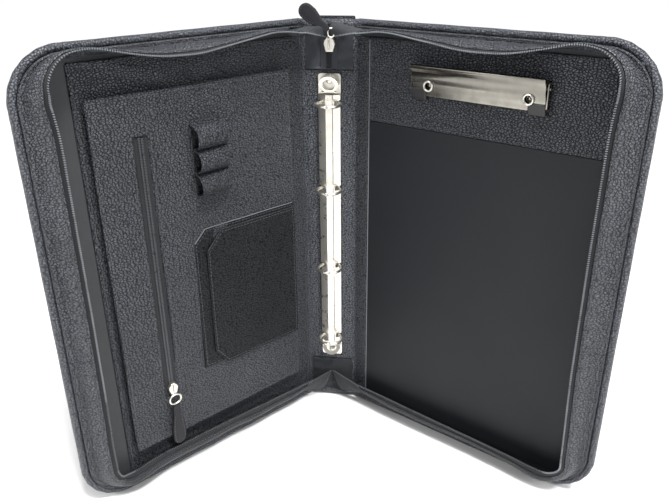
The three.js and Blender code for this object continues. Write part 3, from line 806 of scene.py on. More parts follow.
class Band:
    """The folded gusset band of one cover: where a point lies that is this far from its root and off it."""

    def __init__(self, side, loc):
        self.side, self.loc = side, loc
        self.seed = 3 if side == "left" else 8

    def place(self, share, reach, off):
        share = np.asarray(share, float)
        base, inward = rim(share, ROOT)
        fold = fold_at(self.side, share)
        at = share * TOTAL
        corner = corner_weight(share)
        wave = waves(at, 0 * at, self.seed, 60 * MM)
        below = np.clip((share - FOOT_SHARE) / 0.05, 0, 1)
        below = below * below * (3 - 2 * below) * np.clip((1 - share) / 0.06, 0, 1)
        cup = np.exp(-(((share - CUP_SHARE) / 0.022) ** 2))
        bow = (1.1 + 1.6 * corner + 0.5 * wave + 3.4 * below + 2.6 * cup) * MM
        reach = np.asarray(reach, float) + 0 * share
        outer = np.minimum(reach, 0.0)
        reach = np.maximum(reach, 0.0)
        t = reach / BAND_WIDTH
        out = bow * np.sin(np.pi * np.clip(t, 0, 1)) + off
        out = out + 0.35 * MM * np.sin(at / (7 * MM) + 3 * wave) * t * (0.2 + corner)
        turned = fold * np.clip(0.5 + 2 * (reach + outer) / (3 * MM), 0, 1)
        run = reach * np.cos(fold) - out * np.sin(turned) + outer
        rise = reach * np.sin(fold) + out * np.cos(turned)
        u = base[:, 0] + inward[:, 0] * run
        z = base[:, 1] + inward[:, 1] * run
        return columns(u, 1.0 * MM + rise, z)

    def strip(self, share, section):
        """Rings of local points for a section given as (reach, off) pairs."""
        return np.stack([self.place(share, reach, off) for reach, off in section], axis=1)


def run_strip(name, loc, rings, material, slot):
    points, faces = sleeve(loc.world(rings))
    return piece(name, points, faces, material, loc.body, slot, 50)


def cover_edge(side, loc):
    """The padded edge roll, its welt, the gusset band with its tape and coil, and their stitching."""
    first = 1.5 * MM / TOTAL
    share = stations(first, 1 - first)
    at = share * TOTAL
    rings = []
    mid_n, half_n, mid_w, half_w = -2.3 * MM, 4.0 * MM, 2.8 * MM, 2.9 * MM
    corner = corner_weight(share)
    pucker = 0.22 * MM * np.sin(at / (1.35 * MM)) * corner + 0.1 * MM * waves(at, 0 * at, 21, 60 * MM)
    for a in np.linspace(0, 2 * np.pi, 20, endpoint=False):
        ca, sa = math.cos(a), math.sin(a)
        w = mid_w + half_w * math.copysign(abs(ca) ** 0.8, ca) * (1 + 0.7 * max(0.0, ca) * max(0.0, -sa))
        n = mid_n + (half_n + pucker * max(0.0, sa) * 0.8) * math.copysign(abs(sa) ** 0.85, sa)
        base, inward = rim(share, 0.0)
        push = w - pucker * max(0.0, -ca)
        rings.append(np.stack([base[:, 0] + inward[:, 0] * push, n + 0 * at,
                               base[:, 1] + inward[:, 1] * push], axis=1))
    roll = run_strip(f"{side}_edge_roll_pad", loc, np.stack(rings, axis=1), LEATHER_EDGE_PAINTED_LIGHT, "leather")
    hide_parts(f"{side}_edge_roll")

    base, inward = rim(share, 6.1 * MM)
    line = columns(base[:, 0], 1.2 * MM + 0.12 * MM * waves(at, 0 * at, 5, 25 * MM), base[:, 1])
    points, faces = tube(loc.world(line), 0.85 * MM, 10)
    piece(f"{side}_welt", points, faces, LEATHER_SMOOTH, loc.body, "leather")
    places, ways = walk(loc.world(line + [0, 0.8 * MM, 0]), STITCH_PITCH)
    beads(f"{side}_welt_stitches", places, ways, np.tile(loc.axes[1], (len(places), 1)), STITCH, THREAD,
          loc.body, "leather")

    band = Band(side, loc)
    start = BAND_START / TOTAL
    share = stations(start, 1 - start, 1.8 * MM)
    section = [(-4.4, -0.4), (-4.4, 0.7), (-3.6, 1.3), (-2.6, 1.0), (-1.3, 1.25), (0.6, 1.5), (2.2, 1.75),
               (4, 1.75),
               (7, 1.8), (11.5, 1.75), (14.8, 1.65), (15.7, 1.15), (16.5, 1.7), (17.4, 1.45), (17.7, 0.8),
               (17.3, 0.2), (9, 0.2), (3, 0.2), (0.4, -0.2)]
    # From this share on round the bottom, the band takes the darker copy of its leather: painted shade.
    joint = 0.722
    leather_band = run_strip(f"{side}_band", loc, band.strip(share[share <= joint + 0.004],
                                                             np.array(section) * MM),
                             LEATHER_BAND_PAINTED_LIGHT, "leather")
    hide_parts(f"{side}_gusset_band")
    run_strip(f"{side}_band_foot", loc, band.strip(share[share >= joint],
                                                   np.array(section) * MM + [0, -0.05 * MM]),
              FOOT_LEATHER_PAINTED_SHADE, "leather")
    tape = [(12.0, -0.75), (12.0, 0.05), (16, 0.12), (19.6, 0.1), (20.8, -0.1), (20.8, -0.6), (16, -0.7)]
    zip_tape = run_strip(f"{side}_tape", loc, band.strip(share, np.array(tape) * MM), TAPE, "zip")
    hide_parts(f"{side}_zip_tape")

    # Where the coil turns to its darker copy, painted shade: earlier round the left side than the right.
    dim = 0.6 if side == "left" else 0.735
    for label, first, last, material in (("coil", start, dim, COIL),
                                         ("coil_foot", dim, 1 - start, COIL_PAINTED_SHADE)):
        share = np.linspace(first, last, int((last - first) * TOTAL / TOOTH_PITCH))
        middle = loc.world(band.place(share, 21.2 * MM, 0.2 * MM))
        tip = loc.world(band.place(share, 21.6 * MM, 0.2 * MM))
        lifted = loc.world(band.place(share, 21.2 * MM, 1.1 * MM))
        teeth = beads(f"{side}_{label}", middle, tip - middle, lifted - middle, TOOTH, material, loc.body,
                      "zip")
        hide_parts(f"{side}_zip_teeth")

    for label, reach, lift in (("outer", -2.6, 1.05), ("inner", 15.7, 1.3)):
        share = np.linspace(start + 0.004, 1 - start - 0.004, int(0.96 * TOTAL / STITCH_PITCH))
        centres = loc.world(band.place(share, reach * MM, lift * MM))
        ahead = loc.world(band.place(np.clip(share + 0.001, 0, 1), reach * MM, lift * MM)) - centres
        ups = loc.world(band.place(share, reach * MM, (lift + 1) * MM)) - centres
        beads(f"{side}_band_stitches_{label}", centres, ahead, ups, STITCH, THREAD, loc.body, "leather")

    # The seam across the band where two lengths of leather are joined.
    middle = (STRAIGHT + TURN + (HEIGHT - CORNER - BAND_SEAM_Z)) / TOTAL
    widths = np.linspace(1.0, 17.0, 14) * MM
    line = np.concatenate([band.place([middle], w, 1.9 * MM) for w in widths])
    points, faces = tube(loc.world(line), 0.55 * MM, 8)
    piece(f"{side}_band_seam_low", points, faces, LEATHER_SMOOTH, loc.body, "leather")
    return band


def cover_layers(side, loc):
    """The board, the lining inside and the padded panel outside."""
    inner = 4.6 * MM
    u0 = 1.5 * MM
    outline = (
        [(u0, inner), (WIDTH - CORNER, inner)]
        + arc_points(WIDTH - CORNER, CORNER, CORNER - inner, -90, 0, 10)[1:]
        + arc_points(WIDTH - CORNER, HEIGHT - CORNER, CORNER - inner, 0, 90, 10)
        + [(u0, HEIGHT - inner)]
    )
    low, high = loc.span(f"{side}_outer_leather")

    def crown(u, z):
        d = outline_distance(outline, u, z)
        soft = 1 - np.exp(-d / (16 * MM))
        return 2.0 * MM * soft + 0.35 * MM * waves(u, z, 31, 90 * MM)

    outer, _ = panel(f"{side}_outer_panel", flipped(loc), outline, -high[1], -low[1], LEATHER, "leather",
                     2.2 * MM, 5 * MM, crown)
    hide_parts(f"{side}_outer_leather")
    low, high = loc.span(f"{side}_cover_board")
    board, _ = panel(f"{side}_board", loc, outline, low[1], high[1], BOARD, "board", 0.5 * MM, 20 * MM)
    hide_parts(f"{side}_cover_board")
    low, high = loc.span(f"{side}_lining")
    lining, _ = panel(f"{side}_lining_cloth", loc, outline, low[1], 0.0, LINING, "lining", 0.4 * MM, 6 * MM,
                      lambda u, z: 0.12 * MM * waves(u, z, 41, 60 * MM))
    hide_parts(f"{side}_lining")


# ---- The spine and the two hinges --------------------------------------------------------------

def cloth_solid(name, grid, thick, material, body, slot):
    """A thin solid on a grid of world points, offset along the grid's own normals."""
    ahead = np.gradient(grid, axis=0)
    across = np.gradient(grid, axis=1)
    normal = np.cross(ahead, across)
    normal /= np.maximum(np.linalg.norm(normal, axis=-1, keepdims=True), 1e-12)
    points, faces = shell(grid + 0.5 * thick * normal, grid - 0.5 * thick * normal)
    return piece(name, points, faces, material, body, slot, 60)


def hinge_leather(side, loc, way):
    """The leather that bends over one hinge, inside and outside, and the padded rolls at its two ends."""
    bend = ("spine", loc.body)
    count = 15
    heights = np.linspace(11 * MM, HEIGHT - 11 * MM, 60)
    sag = lambda z: 0.25 * MM * waves(z, 0 * z, 51 if way > 0 else 57, 70 * MM)
    start, end = SPINE.world((way * (HALF_SPINE - 2.6 * MM), 0.2 * MM, 0)), loc.world((4.0 * MM, 1.2 * MM, 0))
    pivot = loc.world((0, -0.5 * MM, 0))
    t = np.linspace(0, 1, count)[:, None]
    curve = (1 - t) ** 2 * start + 2 * t * (1 - t) * pivot + t**2 * end
    grid = np.repeat(curve[:, None, :], len(heights), axis=1)
    grid[..., 2] = heights
    grid[..., 1] += sag(heights)[None, :] * np.sin(np.pi * t)
    made = cloth_solid(f"{side}_hinge_inner", grid, 0.9 * MM, LEATHER_SPINE_PAINTED_LIGHT, "spine", "leather")
    unparent(made)
    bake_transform(made, *bend, tuple(start), tuple(end))

    radius = 6.9 * MM
    lean = math.acos(np.clip(loc.axes[1] @ SPINE.axes[1], -1, 1))
    path = [SPINE.world((way * (HALF_SPINE - d * MM), -radius + 0.2 * MM * (d > 5), 0)) for d in (9, 8.6, 6,
                                                                                                  3, 0)]
    for a in np.linspace(0, lean, 6)[1:-1]:
        out = -math.cos(a) * SPINE.axes[1] + way * math.sin(a) * -SPINE.axes[0] * -1
        path.append(loc.origin + radius * out)
    path += [loc.world((d * MM, -radius - 0.6 * MM * (d > 4), 0)) for d in (0, 3, 6, 9, 11.6, 12)]
    path = np.array(path)
    heights = np.linspace(2.2 * MM, HEIGHT - 0.8 * MM, 70)
    grid = np.repeat(path[:, None, :], len(heights), axis=1)
    grid[..., 2] = heights
    back = Local((0, 0, 0), (1, 0, 0), (0, 1, 0), "spine")
    grid += back.axes[1] * (0.2 * MM * waves(heights, 0 * heights, 61, 45 * MM))[None, :, None]
    made = cloth_solid(f"{side}_hinge_outer", grid, 1.3 * MM, LEATHER, "spine", "leather")
    unparent(made)
    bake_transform(made, *bend, tuple(path[3]), tuple(path[-4]))
    line = grid[-2][3:-3] - 0.7 * MM * loc.axes[1]
    places, ways = walk(line, STITCH_PITCH)
    beads(f"{side}_hinge_outer_stitches", places, ways, np.tile(-loc.axes[1], (len(places), 1)), STITCH,
          THREAD,
          loc.body, "leather")

    for label, z in (("top", HEIGHT - EDGE / 2), ("bottom", EDGE / 2)):
        turn = np.linspace(0, 2 * np.pi, 18, endpoint=False)
        offs = columns(4.0 * MM * np.sin(turn) - 2.3 * MM, 4.2 * MM * np.cos(turn))
        rings = []
        for d in (-8, -6, -3.5, -1.5):
            rings.append(SPINE.at(way * (HALF_SPINE + d * MM), offs[:, 0], z + offs[:, 1]))
        for d in (1.5, 3.5, 6):
            rings.append(loc.at(d * MM, offs[:, 0], z + offs[:, 1]))
        points, faces = sleeve(np.array(rings))
        made = piece(f"{side}_hinge_roll_{label}", points, faces, LEATHER_EDGE_PAINTED_LIGHT, "spine", "leather", 50)
        unparent(made)
        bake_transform(made, *bend, tuple(rings[1].mean(0)), tuple(rings[-2].mean(0)))


def unparent(made):
    made.parent = None
    del made["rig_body"]


def gusset_end(side, loc, way, band, where):
    """The cloth that carries the zip from the end of a cover's band to the middle of the spine."""
    top = where == "top"
    share = BAND_START / TOTAL if top else 1 - BAND_START / TOTAL
    reaches = np.linspace(0.6, 20.6, 12) * MM
    ends = np.array([loc.world(band.place([share], r, 0.4 * MM))[0] for r in reaches])
    f = np.linspace(0, 1, len(reaches))
    if top:
        line = np.stack([way * (3.0 - 0.8 * f),
                         1.2 + 8.2 * np.sin(np.pi * 0.75 * f) * (1 - 0.25 * f) + 0.2 * f,
                         385.5 - 11.5 * f**1.5], axis=1)
    else:
        line = np.stack([way * (10.0 - 9.0 * f), 1.6 + 3.0 * np.sin(np.pi * f) + 0.8 * f, 7.0 + 24.0 * f],
                        axis=1)
    middles = SPINE.world(line * MM)
    s = np.linspace(0, 1, 30)
    ease = s * s * (3 - 2 * s)
    late = np.clip((s - 0.2) / 0.8, 0, 1)
    late = late * late * (3 - 2 * late)
    grid = np.empty((len(s), len(reaches), 3))
    for k in range(len(reaches)):
        w = (1 - f[k]) * ease + f[k] * (late if top else ease)
        grid[:, k] = ends[k] * (1 - w)[:, None] + middles[k] * w[:, None]
    ripple = np.sin(np.pi * s)[:, None] * np.sin(np.pi * f)[None, :]
    fold = waves(np.broadcast_to(s[:, None], ripple.shape) * 40, np.broadcast_to(f, ripple.shape) * 20, 71,
                 22)
    grid[..., 1] -= (1.2 + 1.1 * fold) * MM * ripple
    made = cloth_solid(f"{side}_gusset_{where}", grid, 0.9 * MM, GUSSET, "spine", "fabric")
    unparent(made)
    begin, end = SPINE.world((way * 9 * MM, 2 * MM, grid[-1, 0, 2])), ends.mean(0)
    begin[2] = end[2]
    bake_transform(made, "spine", loc.body, tuple(begin), tuple(end))
    edge = grid[:, -1]
    inner = grid[:, -3]
    places, ways = walk(edge, TOOTH_PITCH)
    inward = np.stack([np.interp(np.linspace(0, 1, len(places)), s, (edge - inner)[:, k]) for k in range(3)],
                      axis=1)
    ups = np.cross(ways, inward)
    # The bottom coil takes the darker copy: painted shade.
    coil = beads(f"{side}_coil_{where}", places, inward, ups, TOOTH, COIL if top else COIL_PAINTED_SHADE, "spine",
                 "zip")
    unparent(coil)
    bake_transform(coil, "spine", loc.body, tuple(begin), tuple(end))


def spine_parts():
    low, high = SPINE.span("spine_outer_leather")
    outline = rounded(low[0], low[2], high[0], high[2], 1.5 * MM, 3)
    back, _ = panel("spine_back_panel", flipped(SPINE), outline, -high[1], -low[1], LEATHER, "leather",
                    1 * MM, 5 * MM,
                    lambda u, z: 0.25 * MM * waves(u, z, 81, 60 * MM))
    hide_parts("spine_outer_leather")
    fitted("spine_board_shown", SPINE, "spine_board", 2 * MM, BOARD, "board", 0.5 * MM, 15 * MM, None, 3)

    def ridged(u, z):
        return 0.3 * MM * waves(u, z, 83,
                                50 * MM) + 0.5 * MM * np.exp(-((np.abs(u) - 18.5 * MM) / (2 * MM)) ** 2)

    _, face, _, low, high = fitted("spine_inner_shown", SPINE, "spine_inner_leather", 1.5 * MM, LEATHER_SPINE_PAINTED_LIGHT,
                                   "leather", 0.8 * MM, 3 * MM, ridged, 3)
    for label, z in (("top", high[2] - 2.2 * MM), ("bottom", low[2] + 2.2 * MM)):
        stitches(f"spine_stitches_{label}", SPINE, [(-20 * MM, z), (20 * MM, z)], face)
    for node, name in (("top_gusset_fabric", "spine_top_cloth"),
                       ("bottom_gusset_fabric", "spine_bottom_cloth")):
        low, high = SPINE.span(node)
        outline = rounded(low[0], low[2], high[0], high[2], 1.5 * MM, 3)
        hem = low[2] if node[0] == "t" else high[2]
        made, _ = panel(name, SPINE, outline, low[1], high[1], SATIN if node[0] == "t" else GUSSET, "fabric",
                        0.6 * MM, 2.5 * MM,
                        lambda u, z: (0.8 * waves(u, z, 91,
                                                  16 * MM) + 0.9 * np.exp(-((z - hem) / (2.2 * MM)) ** 2)
                                      + 1.1 * np.exp(-((np.abs(u) - 12 * MM) / (5 * MM)) ** 2)) * MM)
        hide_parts(node)
    for label, z in (("top", HEIGHT - EDGE / 2), ("bottom", EDGE / 2)):
        turn = np.linspace(0, 2 * np.pi, 18, endpoint=False)
        rings = []
        for x in np.linspace(-18, 18, 19) * MM:
            bump = 0.25 * MM * math.sin(x * 900)
            rings.append(SPINE.at(x, (4.2 * MM + bump) * np.sin(turn) - 2.3 * MM,
                                  z + 4.35 * MM * np.cos(turn)))
        points, faces = sleeve(np.array(rings))
        piece(f"spine_roll_{label}", points, faces, LEATHER_EDGE_PAINTED_LIGHT, "spine", "leather", 50)


# ---- Zip sliders, rings and pull tabs ----------------------------------------------------------

def slider(name, loc, centre, width, length, low, high, node, body):
    """A zip slider: a shield-shaped body, and the bridge that its ring hangs on."""
    u, z = centre
    w, l = width / 2, length / 2
    shape = [(-0.62, -1), (0.62, -1), (0.82, -0.5), (1, 0.05), (0.9, 0.5), (0.42, 1), (-0.42, 1), (-0.9, 0.5),
             (-1, 0.05), (-0.82, -0.5)]
    outline = [(u + a * w, z + b * l) for a, b in shape]
    thick = high - low
    body_piece, _ = panel(name, loc, outline, low, low + 0.62 * thick, NICKEL, "nickel", 0.9 * MM, 0.8 * MM,
                          lambda a, b: 0.5 * MM * np.cos(np.clip((a - u) / w, -1, 1) * 1.2), body)
    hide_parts(node)
    arch = ((0.5, -0.55), (0.5, -0.5), (0.85, -0.45), (0.98, -0.15), (0.98, 0.35), (0.9, 0.75), (0.6, 0.92))
    line = smooth_line([(u, low + h * thick, z + t * l) for h, t in arch], 24)
    piece(f"{name}_bridge", *tube(loc.world(line), 0.8 * MM, 10), NICKEL, body, "nickel")


def wire_ring(name, loc, centre, half_u, half_z, n, wire, node, body):
    a = np.linspace(0, 2 * np.pi, 40, endpoint=False)
    line = loc.at(centre[0] + half_u * np.sign(np.cos(a)) * np.abs(np.cos(a)) ** 0.85, n,
                  centre[1] + half_z * np.sign(np.sin(a)) * np.abs(np.sin(a)) ** 0.85)
    made = piece(name, *tube(line, wire, 12, True), NICKEL, body, "nickel")
    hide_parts(node)


def pull_tab(name, loc, reach, neck, end, low, high, node, body):
    """A stitched leather tongue that hangs from z 0 down to -reach in its frame."""
    outline = [(-neck, -0.28 * reach), (-end, -0.62 * reach)]
    outline += arc_points(0, -reach + end, end, 180, 360, 12)
    outline += [(end, -0.62 * reach), (neck, -0.28 * reach), (0.85 * neck, -1.2 * MM), (0.6 * neck, 0),
                (-0.6 * neck, 0),
                (-0.85 * neck, -1.2 * MM)]
    made, face = panel(name, loc, outline, low, high, TONGUE, "leather", 0.8 * MM, 1.2 * MM,
                       lambda u, z: 0.35 * MM * np.cos(np.clip(u / end, -1, 1) * 1.5), body)
    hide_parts(node)
    line = [(-neck + 1.1 * MM, -0.26 * reach), (-end + 1.4 * MM, -0.62 * reach)]
    line += arc_points(0, -reach + end, end - 1.4 * MM, 180, 360, 12)
    line += [(end - 1.4 * MM, -0.62 * reach), (neck - 1.1 * MM, -0.26 * reach)]
    places, ways = walk(line, 2.4 * MM)
    u, z = places.T
    centres = loc.at(u, face(u, z), z)
    directions = columns(ways[:, 0], 0.0, ways[:, 1]) @ loc.axes
    beads(f"{name}_stitches", centres, directions, np.tile(loc.axes[1], (len(places), 1)), STITCH * 0.75,
          THREAD, body,
          "leather", 5)


def chain(name, loc, u, n, z0, z1, body, material=None):
    """A closed coil zip: two rows of small coils with the seam between them."""
    zs = np.arange(z0, z1, 1.25 * MM)
    rows = np.concatenate([np.stack([np.full(len(zs), u + s), np.full(len(zs), n), zs + d], axis=1)
                           for s, d in ((-1.25 * MM, 0), (1.25 * MM, 0.6 * MM))])
    ways, ups = np.tile(loc.axes[0], (len(rows), 1)), np.tile(loc.axes[1], (len(rows), 1))
    # Unless given another, the chain takes the darker coil copy: painted shade.
    beads(name, loc.world(rows), ways, ups, (2.1 * MM, 0.85 * MM, 1.4 * MM), material or COIL_PAINTED_SHADE, body,
          "zip")


def main_zip():
    low, high = SPINE.span("zip_tail")
    half = min(-low[0], high[0]) - 1.5 * MM
    tape, _ = panel("zip_tail_tape", SPINE, [(-half, low[2]), (half, low[2]), (half, high[2]),
                                             (-half, high[2])],
                    low[1], low[1] + 0.8 * MM, SATIN, "zip", 0.3 * MM, 3 * MM,
                    lambda u, z: 0.2 * MM * waves(u, z, 97, 16 * MM))
    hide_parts("zip_tail")
    chain("zip_tail_chain", SPINE, 0.0, low[1] + 1.5 * MM, low[2] + 0.6 * MM, 366 * MM, "spine", TAPE)
    low, high = SPINE.span("main_slider")
    middle = middle_of(low, high)
    slider("main_slider_body", SPINE, middle, high[0] - low[0], high[2] - low[2], low[1], high[1],
           "main_slider",
           "main_slider")
    low, high = SPINE.span("main_pull_ring")
    middle = middle_of(low, high)
    wire_ring("main_ring_wire", SPINE, middle, (high[0] - low[0]) / 2 - 0.7 * MM,
              (high[2] - low[2]) / 2 - 0.7 * MM,
              (low[1] + high[1]) / 2, 0.75 * MM, "main_pull_ring", "main_ring")
    low, high = SPINE.span("main_pull_tab")
    lean = math.radians(50)
    root = (middle[0] - 4.9 * MM * math.sin(lean) + 1.4 * MM, 0,
            middle[1] + 4.9 * MM * math.cos(lean) - 1.6 * MM)
    tab = SPINE.turned(root, 180 + 50, "main_tab")
    pull_tab("main_tab_leather", tab, 31.0 * MM, 3.5 * MM, 6.5 * MM, low[1], high[1], "main_pull_tab",
             "main_tab")


# ---- The ring mechanism -----------------------------------------------------------------------

def ring_mechanism():
    for side, way in (("left", -1), ("right", 1)):
        for k in range(4):
            node = f"ring_{k + 1}_{side}_half"
            low, high = SPINE.span(node)
            z = (low[2] + high[2]) / 2
            wire = (high[2] - low[2]) / 2
            top = high[1] - wire
            radius = 11 * MM
            centre = top - radius
            a = np.radians(np.linspace(40, 179.2, 40))
            x = way * radius * np.sin(a)
            n = centre - radius * np.cos(a)
            foot = np.array([[way * 6.3 * MM, n[0] - 1.6 * MM, z]])
            line = np.concatenate([foot, columns(x, n, z)])
            radii = np.full(len(line), wire)
            if way > 0:
                radii[-3:] = wire * np.array([0.95, 0.8, 0.55])
            else:
                radii[-4:] = wire * np.array([1.0, 1.12, 1.12, 1.05])
            made = piece(node + "_wire", *tube(SPINE.world(line), radii, 18), NICKEL, f"ring_{side}",
                         "nickel")
            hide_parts(node)
        refined(f"ring_blade_{side}", NICKEL, 0.2 * MM)
    refined("ring_base_plate", NICKEL, 0.3 * MM, 25)
    for end in ("top", "bottom"):
        refined(f"ring_trigger_{end}", NICKEL, 0.3 * MM)
        refined(f"ring_rivet_{end}", NICKEL, 0.15 * MM)


# ---- Inside the left cover --------------------------------------------------------------------

def cloth_box(name, loc, outline, low, high, material, slot, node):
    """A pleated bellows round the four sides of a pocket."""
    rings = []
    for share, back in ((0, 0.3), (0.14, 1.8), (0.3, 2.4), (0.46, 0.6), (0.52, 0.3), (0.6, 0.6), (0.74, 2.4),
                        (0.9, 1.6), (1, 0.3)):
        edge = inset(outline, back * MM)
        n = low + (high - low) * share
        rings.append(loc.at(edge[:, 0], n, edge[:, 1]))
    points, faces = sleeve(np.array(rings))
    made = piece(name, points, faces, material, loc.body, slot, 60)
    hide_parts(node)


def organiser_folds(u, z):
    """Faint waves, and the loose folds that run in from the panel's free top corner."""
    along = (u - 150 * MM) * 0.94 + (z - 356 * MM) * 0.34
    across = (z - 356 * MM) * 0.94 - (u - 150 * MM) * 0.34
    fade = np.exp(-((along - 15 * MM) / (42 * MM)) ** 2)
    crest = np.exp(-((across - 2 * MM) / (4.5 * MM)) ** 2)
    ridge = crest - 0.6 * np.exp(-((across + 6 * MM) / (3.5 * MM)) ** 2)
    return 0.2 * MM * waves(u, z, 101, 80 * MM) + 2.6 * MM * fade * ridge


def left_inside():
    loc = LEFT
    _, face, outline, _, _ = fitted("organiser_panel", loc, "organiser_back_panel", 2 * MM, LEATHER,
                                    "leather",
                                    0.9 * MM, 4 * MM, organiser_folds)
    stitches("organiser_panel_stitches", loc, inset(outline, 2.6 * MM), face, True)

    low, high = loc.span("document_pocket_gusset")
    outline = rounded(low[0], low[2], high[0], high[2], 3 * MM)
    cloth_box("pocket_bellows", loc, outline, low[1], high[1], GUSSET, "fabric", "document_pocket_gusset")

    low, high = loc.span("document_pocket_front")
    slot_low, slot_high = (160 * MM, 82 * MM), (172 * MM, 317 * MM)
    outline = rounded(low[0], low[2], high[0], high[2], 2.5 * MM)

    def front(u, z):
        left = np.clip((u - slot_low[0]) / (0.5 * MM), -1, 1)
        right = np.clip((slot_high[0] - u) / (0.5 * MM), -1, 1)
        under = np.clip((z - slot_low[1]) / (0.5 * MM), -1, 1)
        over = np.clip((slot_high[1] - z) / (0.5 * MM), -1, 1)
        inside = np.minimum(np.minimum(left, right), np.minimum(under, over)) * 0.5 + 0.5
        d = np.maximum(np.maximum(slot_low[0] - u, u - slot_high[0]),
                       np.maximum(slot_low[1] - z, z - slot_high[1]))
        fold = np.exp(-(((d - 1.6 * MM) / (1.6 * MM)) ** 2)) * (d > -0.5 * MM)
        swell = 0.5 * MM * waves(u, z, 111, 130 * MM) + 0.18 * MM * waves(u, z, 112, 45 * MM)
        swell += 1.6 * MM * np.exp(-((u - 100 * MM) / (70 * MM)) ** 2 - ((z - 190 * MM) / (120 * MM)) ** 2)
        return swell * (1 - inside) - 1.0 * MM * inside + 0.3 * MM * fold

    grid = slotted_grid(outline, slot_low, slot_high)
    height = panel_surface(outline, high[1], 1.0 * MM, front)
    u, z = grid[..., 0], grid[..., 1]
    points, faces = shell(loc.at(u, height(u, z), z), loc.at(u, low[1], z))
    pocket = piece("pocket_front", points, faces, LEATHER, loc.body, "leather")
    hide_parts("document_pocket_front")
    stitches("pocket_front_stitches", loc, inset(outline, 2.6 * MM), height, True)
    around = rounded(slot_low[0] - 2.2 * MM, slot_low[1] - 2.2 * MM, slot_high[0] + 2.2 * MM,
                     slot_high[1] + 2.2 * MM, 2 * MM)
    stitches("pocket_zip_stitches", loc, around, height, True)

    tape_outline = [(slot_low[0] + 0.4 * MM, slot_low[1] + 0.4 * MM),
                    (slot_high[0] - 0.4 * MM, slot_low[1] + 0.4 * MM),
                    (slot_high[0] - 0.4 * MM, slot_high[1] - 0.4 * MM),
                    (slot_low[0] + 0.4 * MM, slot_high[1] - 0.4 * MM)]
    tape, _ = panel("pocket_zip_tape", loc, tape_outline, high[1] - 1.1 * MM, high[1] - 0.6 * MM, TAPE,
                    "zip", 0.2 * MM,
                    3 * MM)
    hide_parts("pocket_zip")
    chain("pocket_zip_chain", loc, 166 * MM, high[1] - 0.05 * MM, slot_low[1] + 1.5 * MM,
          slot_high[1] - 1.5 * MM, loc.body)

    # Card pockets: two stepped leather layers with their openings away from the hinge.
    for node, corners, seed in (
        ("card_pocket_rear", [(24, 95), (131, 95), (131, 217), (119, 229), (24, 229)], 121),
        ("card_pocket_front", [(24, 93), (108, 93), (120, 109), (120, 208), (104, 225), (24, 225)], 122),
    ):
        low, high = loc.span(node)
        outline = np.array(corners) * MM
        lift = lambda u, z: 0.3 * MM * waves(u, z, seed, 60 * MM)
        # The card pockets take the darker copy of the leather: painted shade.
        made, face = panel(node + "_leather", loc, [tuple(p) for p in outline], low[1], high[1],
                           LEATHER_PAINTED_SHADE, "leather",
                           0.7 * MM, 3 * MM, lift)
        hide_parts(node)
        stitches(node + "_stitches", loc, inset(outline, 2.2 * MM), face, True)
        # A thin rolled edge along the pocket's top, coloured lighter than the pocket leather as a painted
        # highlight.
        lip = [(u, face(np.array([u]), np.array([z - 0.4 * MM]))[0] + 0.1 * MM, z) for u, z in
               walk(np.array([corners[2], corners[3],
                              corners[4]] if len(corners) == 5 else corners[3:6]) * MM, 3 * MM)[0]]
        material = EDGE_HIGHLIGHT if node.endswith("rear") else LEATHER_SMOOTH
        piece(node + "_lip", *tube(loc.world(lip), 0.38 * MM, 8), material, loc.body, "leather")

    # Pen loops: one strip of leather laid in three arches over a flat patch.
    low, high = loc.span("pen_loop_strip")
    base = low[1] + 0.9 * MM
    patch, face = panel("pen_loop_patch", loc, rounded(low[0], low[2], high[0], high[2], 1 * MM), low[1],
                        base, LEATHER,
                        "leather", 0.5 * MM, 4 * MM)
    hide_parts("pen_loop_strip")
    path = [(low[2] + 0.4 * MM, 0.0)]
    for z in (269, 288.5, 308):
        for a in np.linspace(0, 180, 19):
            c, s = -math.cos(math.radians(a)), math.sin(math.radians(a))
            path.append(((z + 9.5 * math.copysign(abs(c) ** 0.8, c)) * MM, 10.5 * MM * s**0.95))
    path.append((high[2] - 0.4 * MM, 0.0))
    path = smooth_line(path, 150)
    widths = np.linspace(low[0] + 0.5 * MM, high[0] - 0.3 * MM, 14)
    rows = np.empty((len(path), len(widths), 3))
    for k, u in enumerate(widths):
        open_end = (u - low[0]) / (high[0] - low[0])
        dent = 0.68 + 0.42 * open_end**0.8 + 0.03 * np.sin(path[:, 0] / (2.6 * MM) + 1.4 * k)
        rows[:, k] = np.stack([np.full(len(path), u) + 0.5 * MM * np.sin(path[:, 0] / (6 * MM)),
                               base + 0.5 * MM + path[:, 1] * dent, path[:, 0]], axis=1)
    cloth_solid("pen_loops", loc.world(rows), 1.1 * MM, LEATHER, loc.body, "leather")
    for k, z in enumerate((259.4, 278.8, 298.2, 317.4)):
        stitches(f"pen_loop_stitches_{k + 1}", loc, [(low[0] + 2 * MM, z * MM), (high[0] - 2 * MM, z * MM)],
                 base + 1.0 * MM)

    low, high = loc.span("pocket_slider")
    slider("pocket_slider_body", loc, middle_of(low, high), high[0] - low[0],
           high[2] - low[2],
           low[1], high[1], "pocket_slider", "pocket_slider")
    low, high = loc.span("pocket_pull_ring")
    wire_ring("pocket_ring_wire", loc, middle_of(low, high),
              (high[0] - low[0]) / 2 - 0.7 * MM,
              (high[2] - low[2]) / 2 - 0.7 * MM, (low[1] + high[1]) / 2, 0.85 * MM, "pocket_pull_ring",
              "pocket_ring")
    low, high = loc.span("pocket_pull_tab")
    tab = loc.turned(((low[0] + high[0]) / 2, 0, high[2]), 0, "pocket_tab")
    pull_tab("pocket_tab_leather", tab, high[2] - low[2], 4.0 * MM, 6.2 * MM, low[1], high[1],
             "pocket_pull_tab", "pocket_tab")


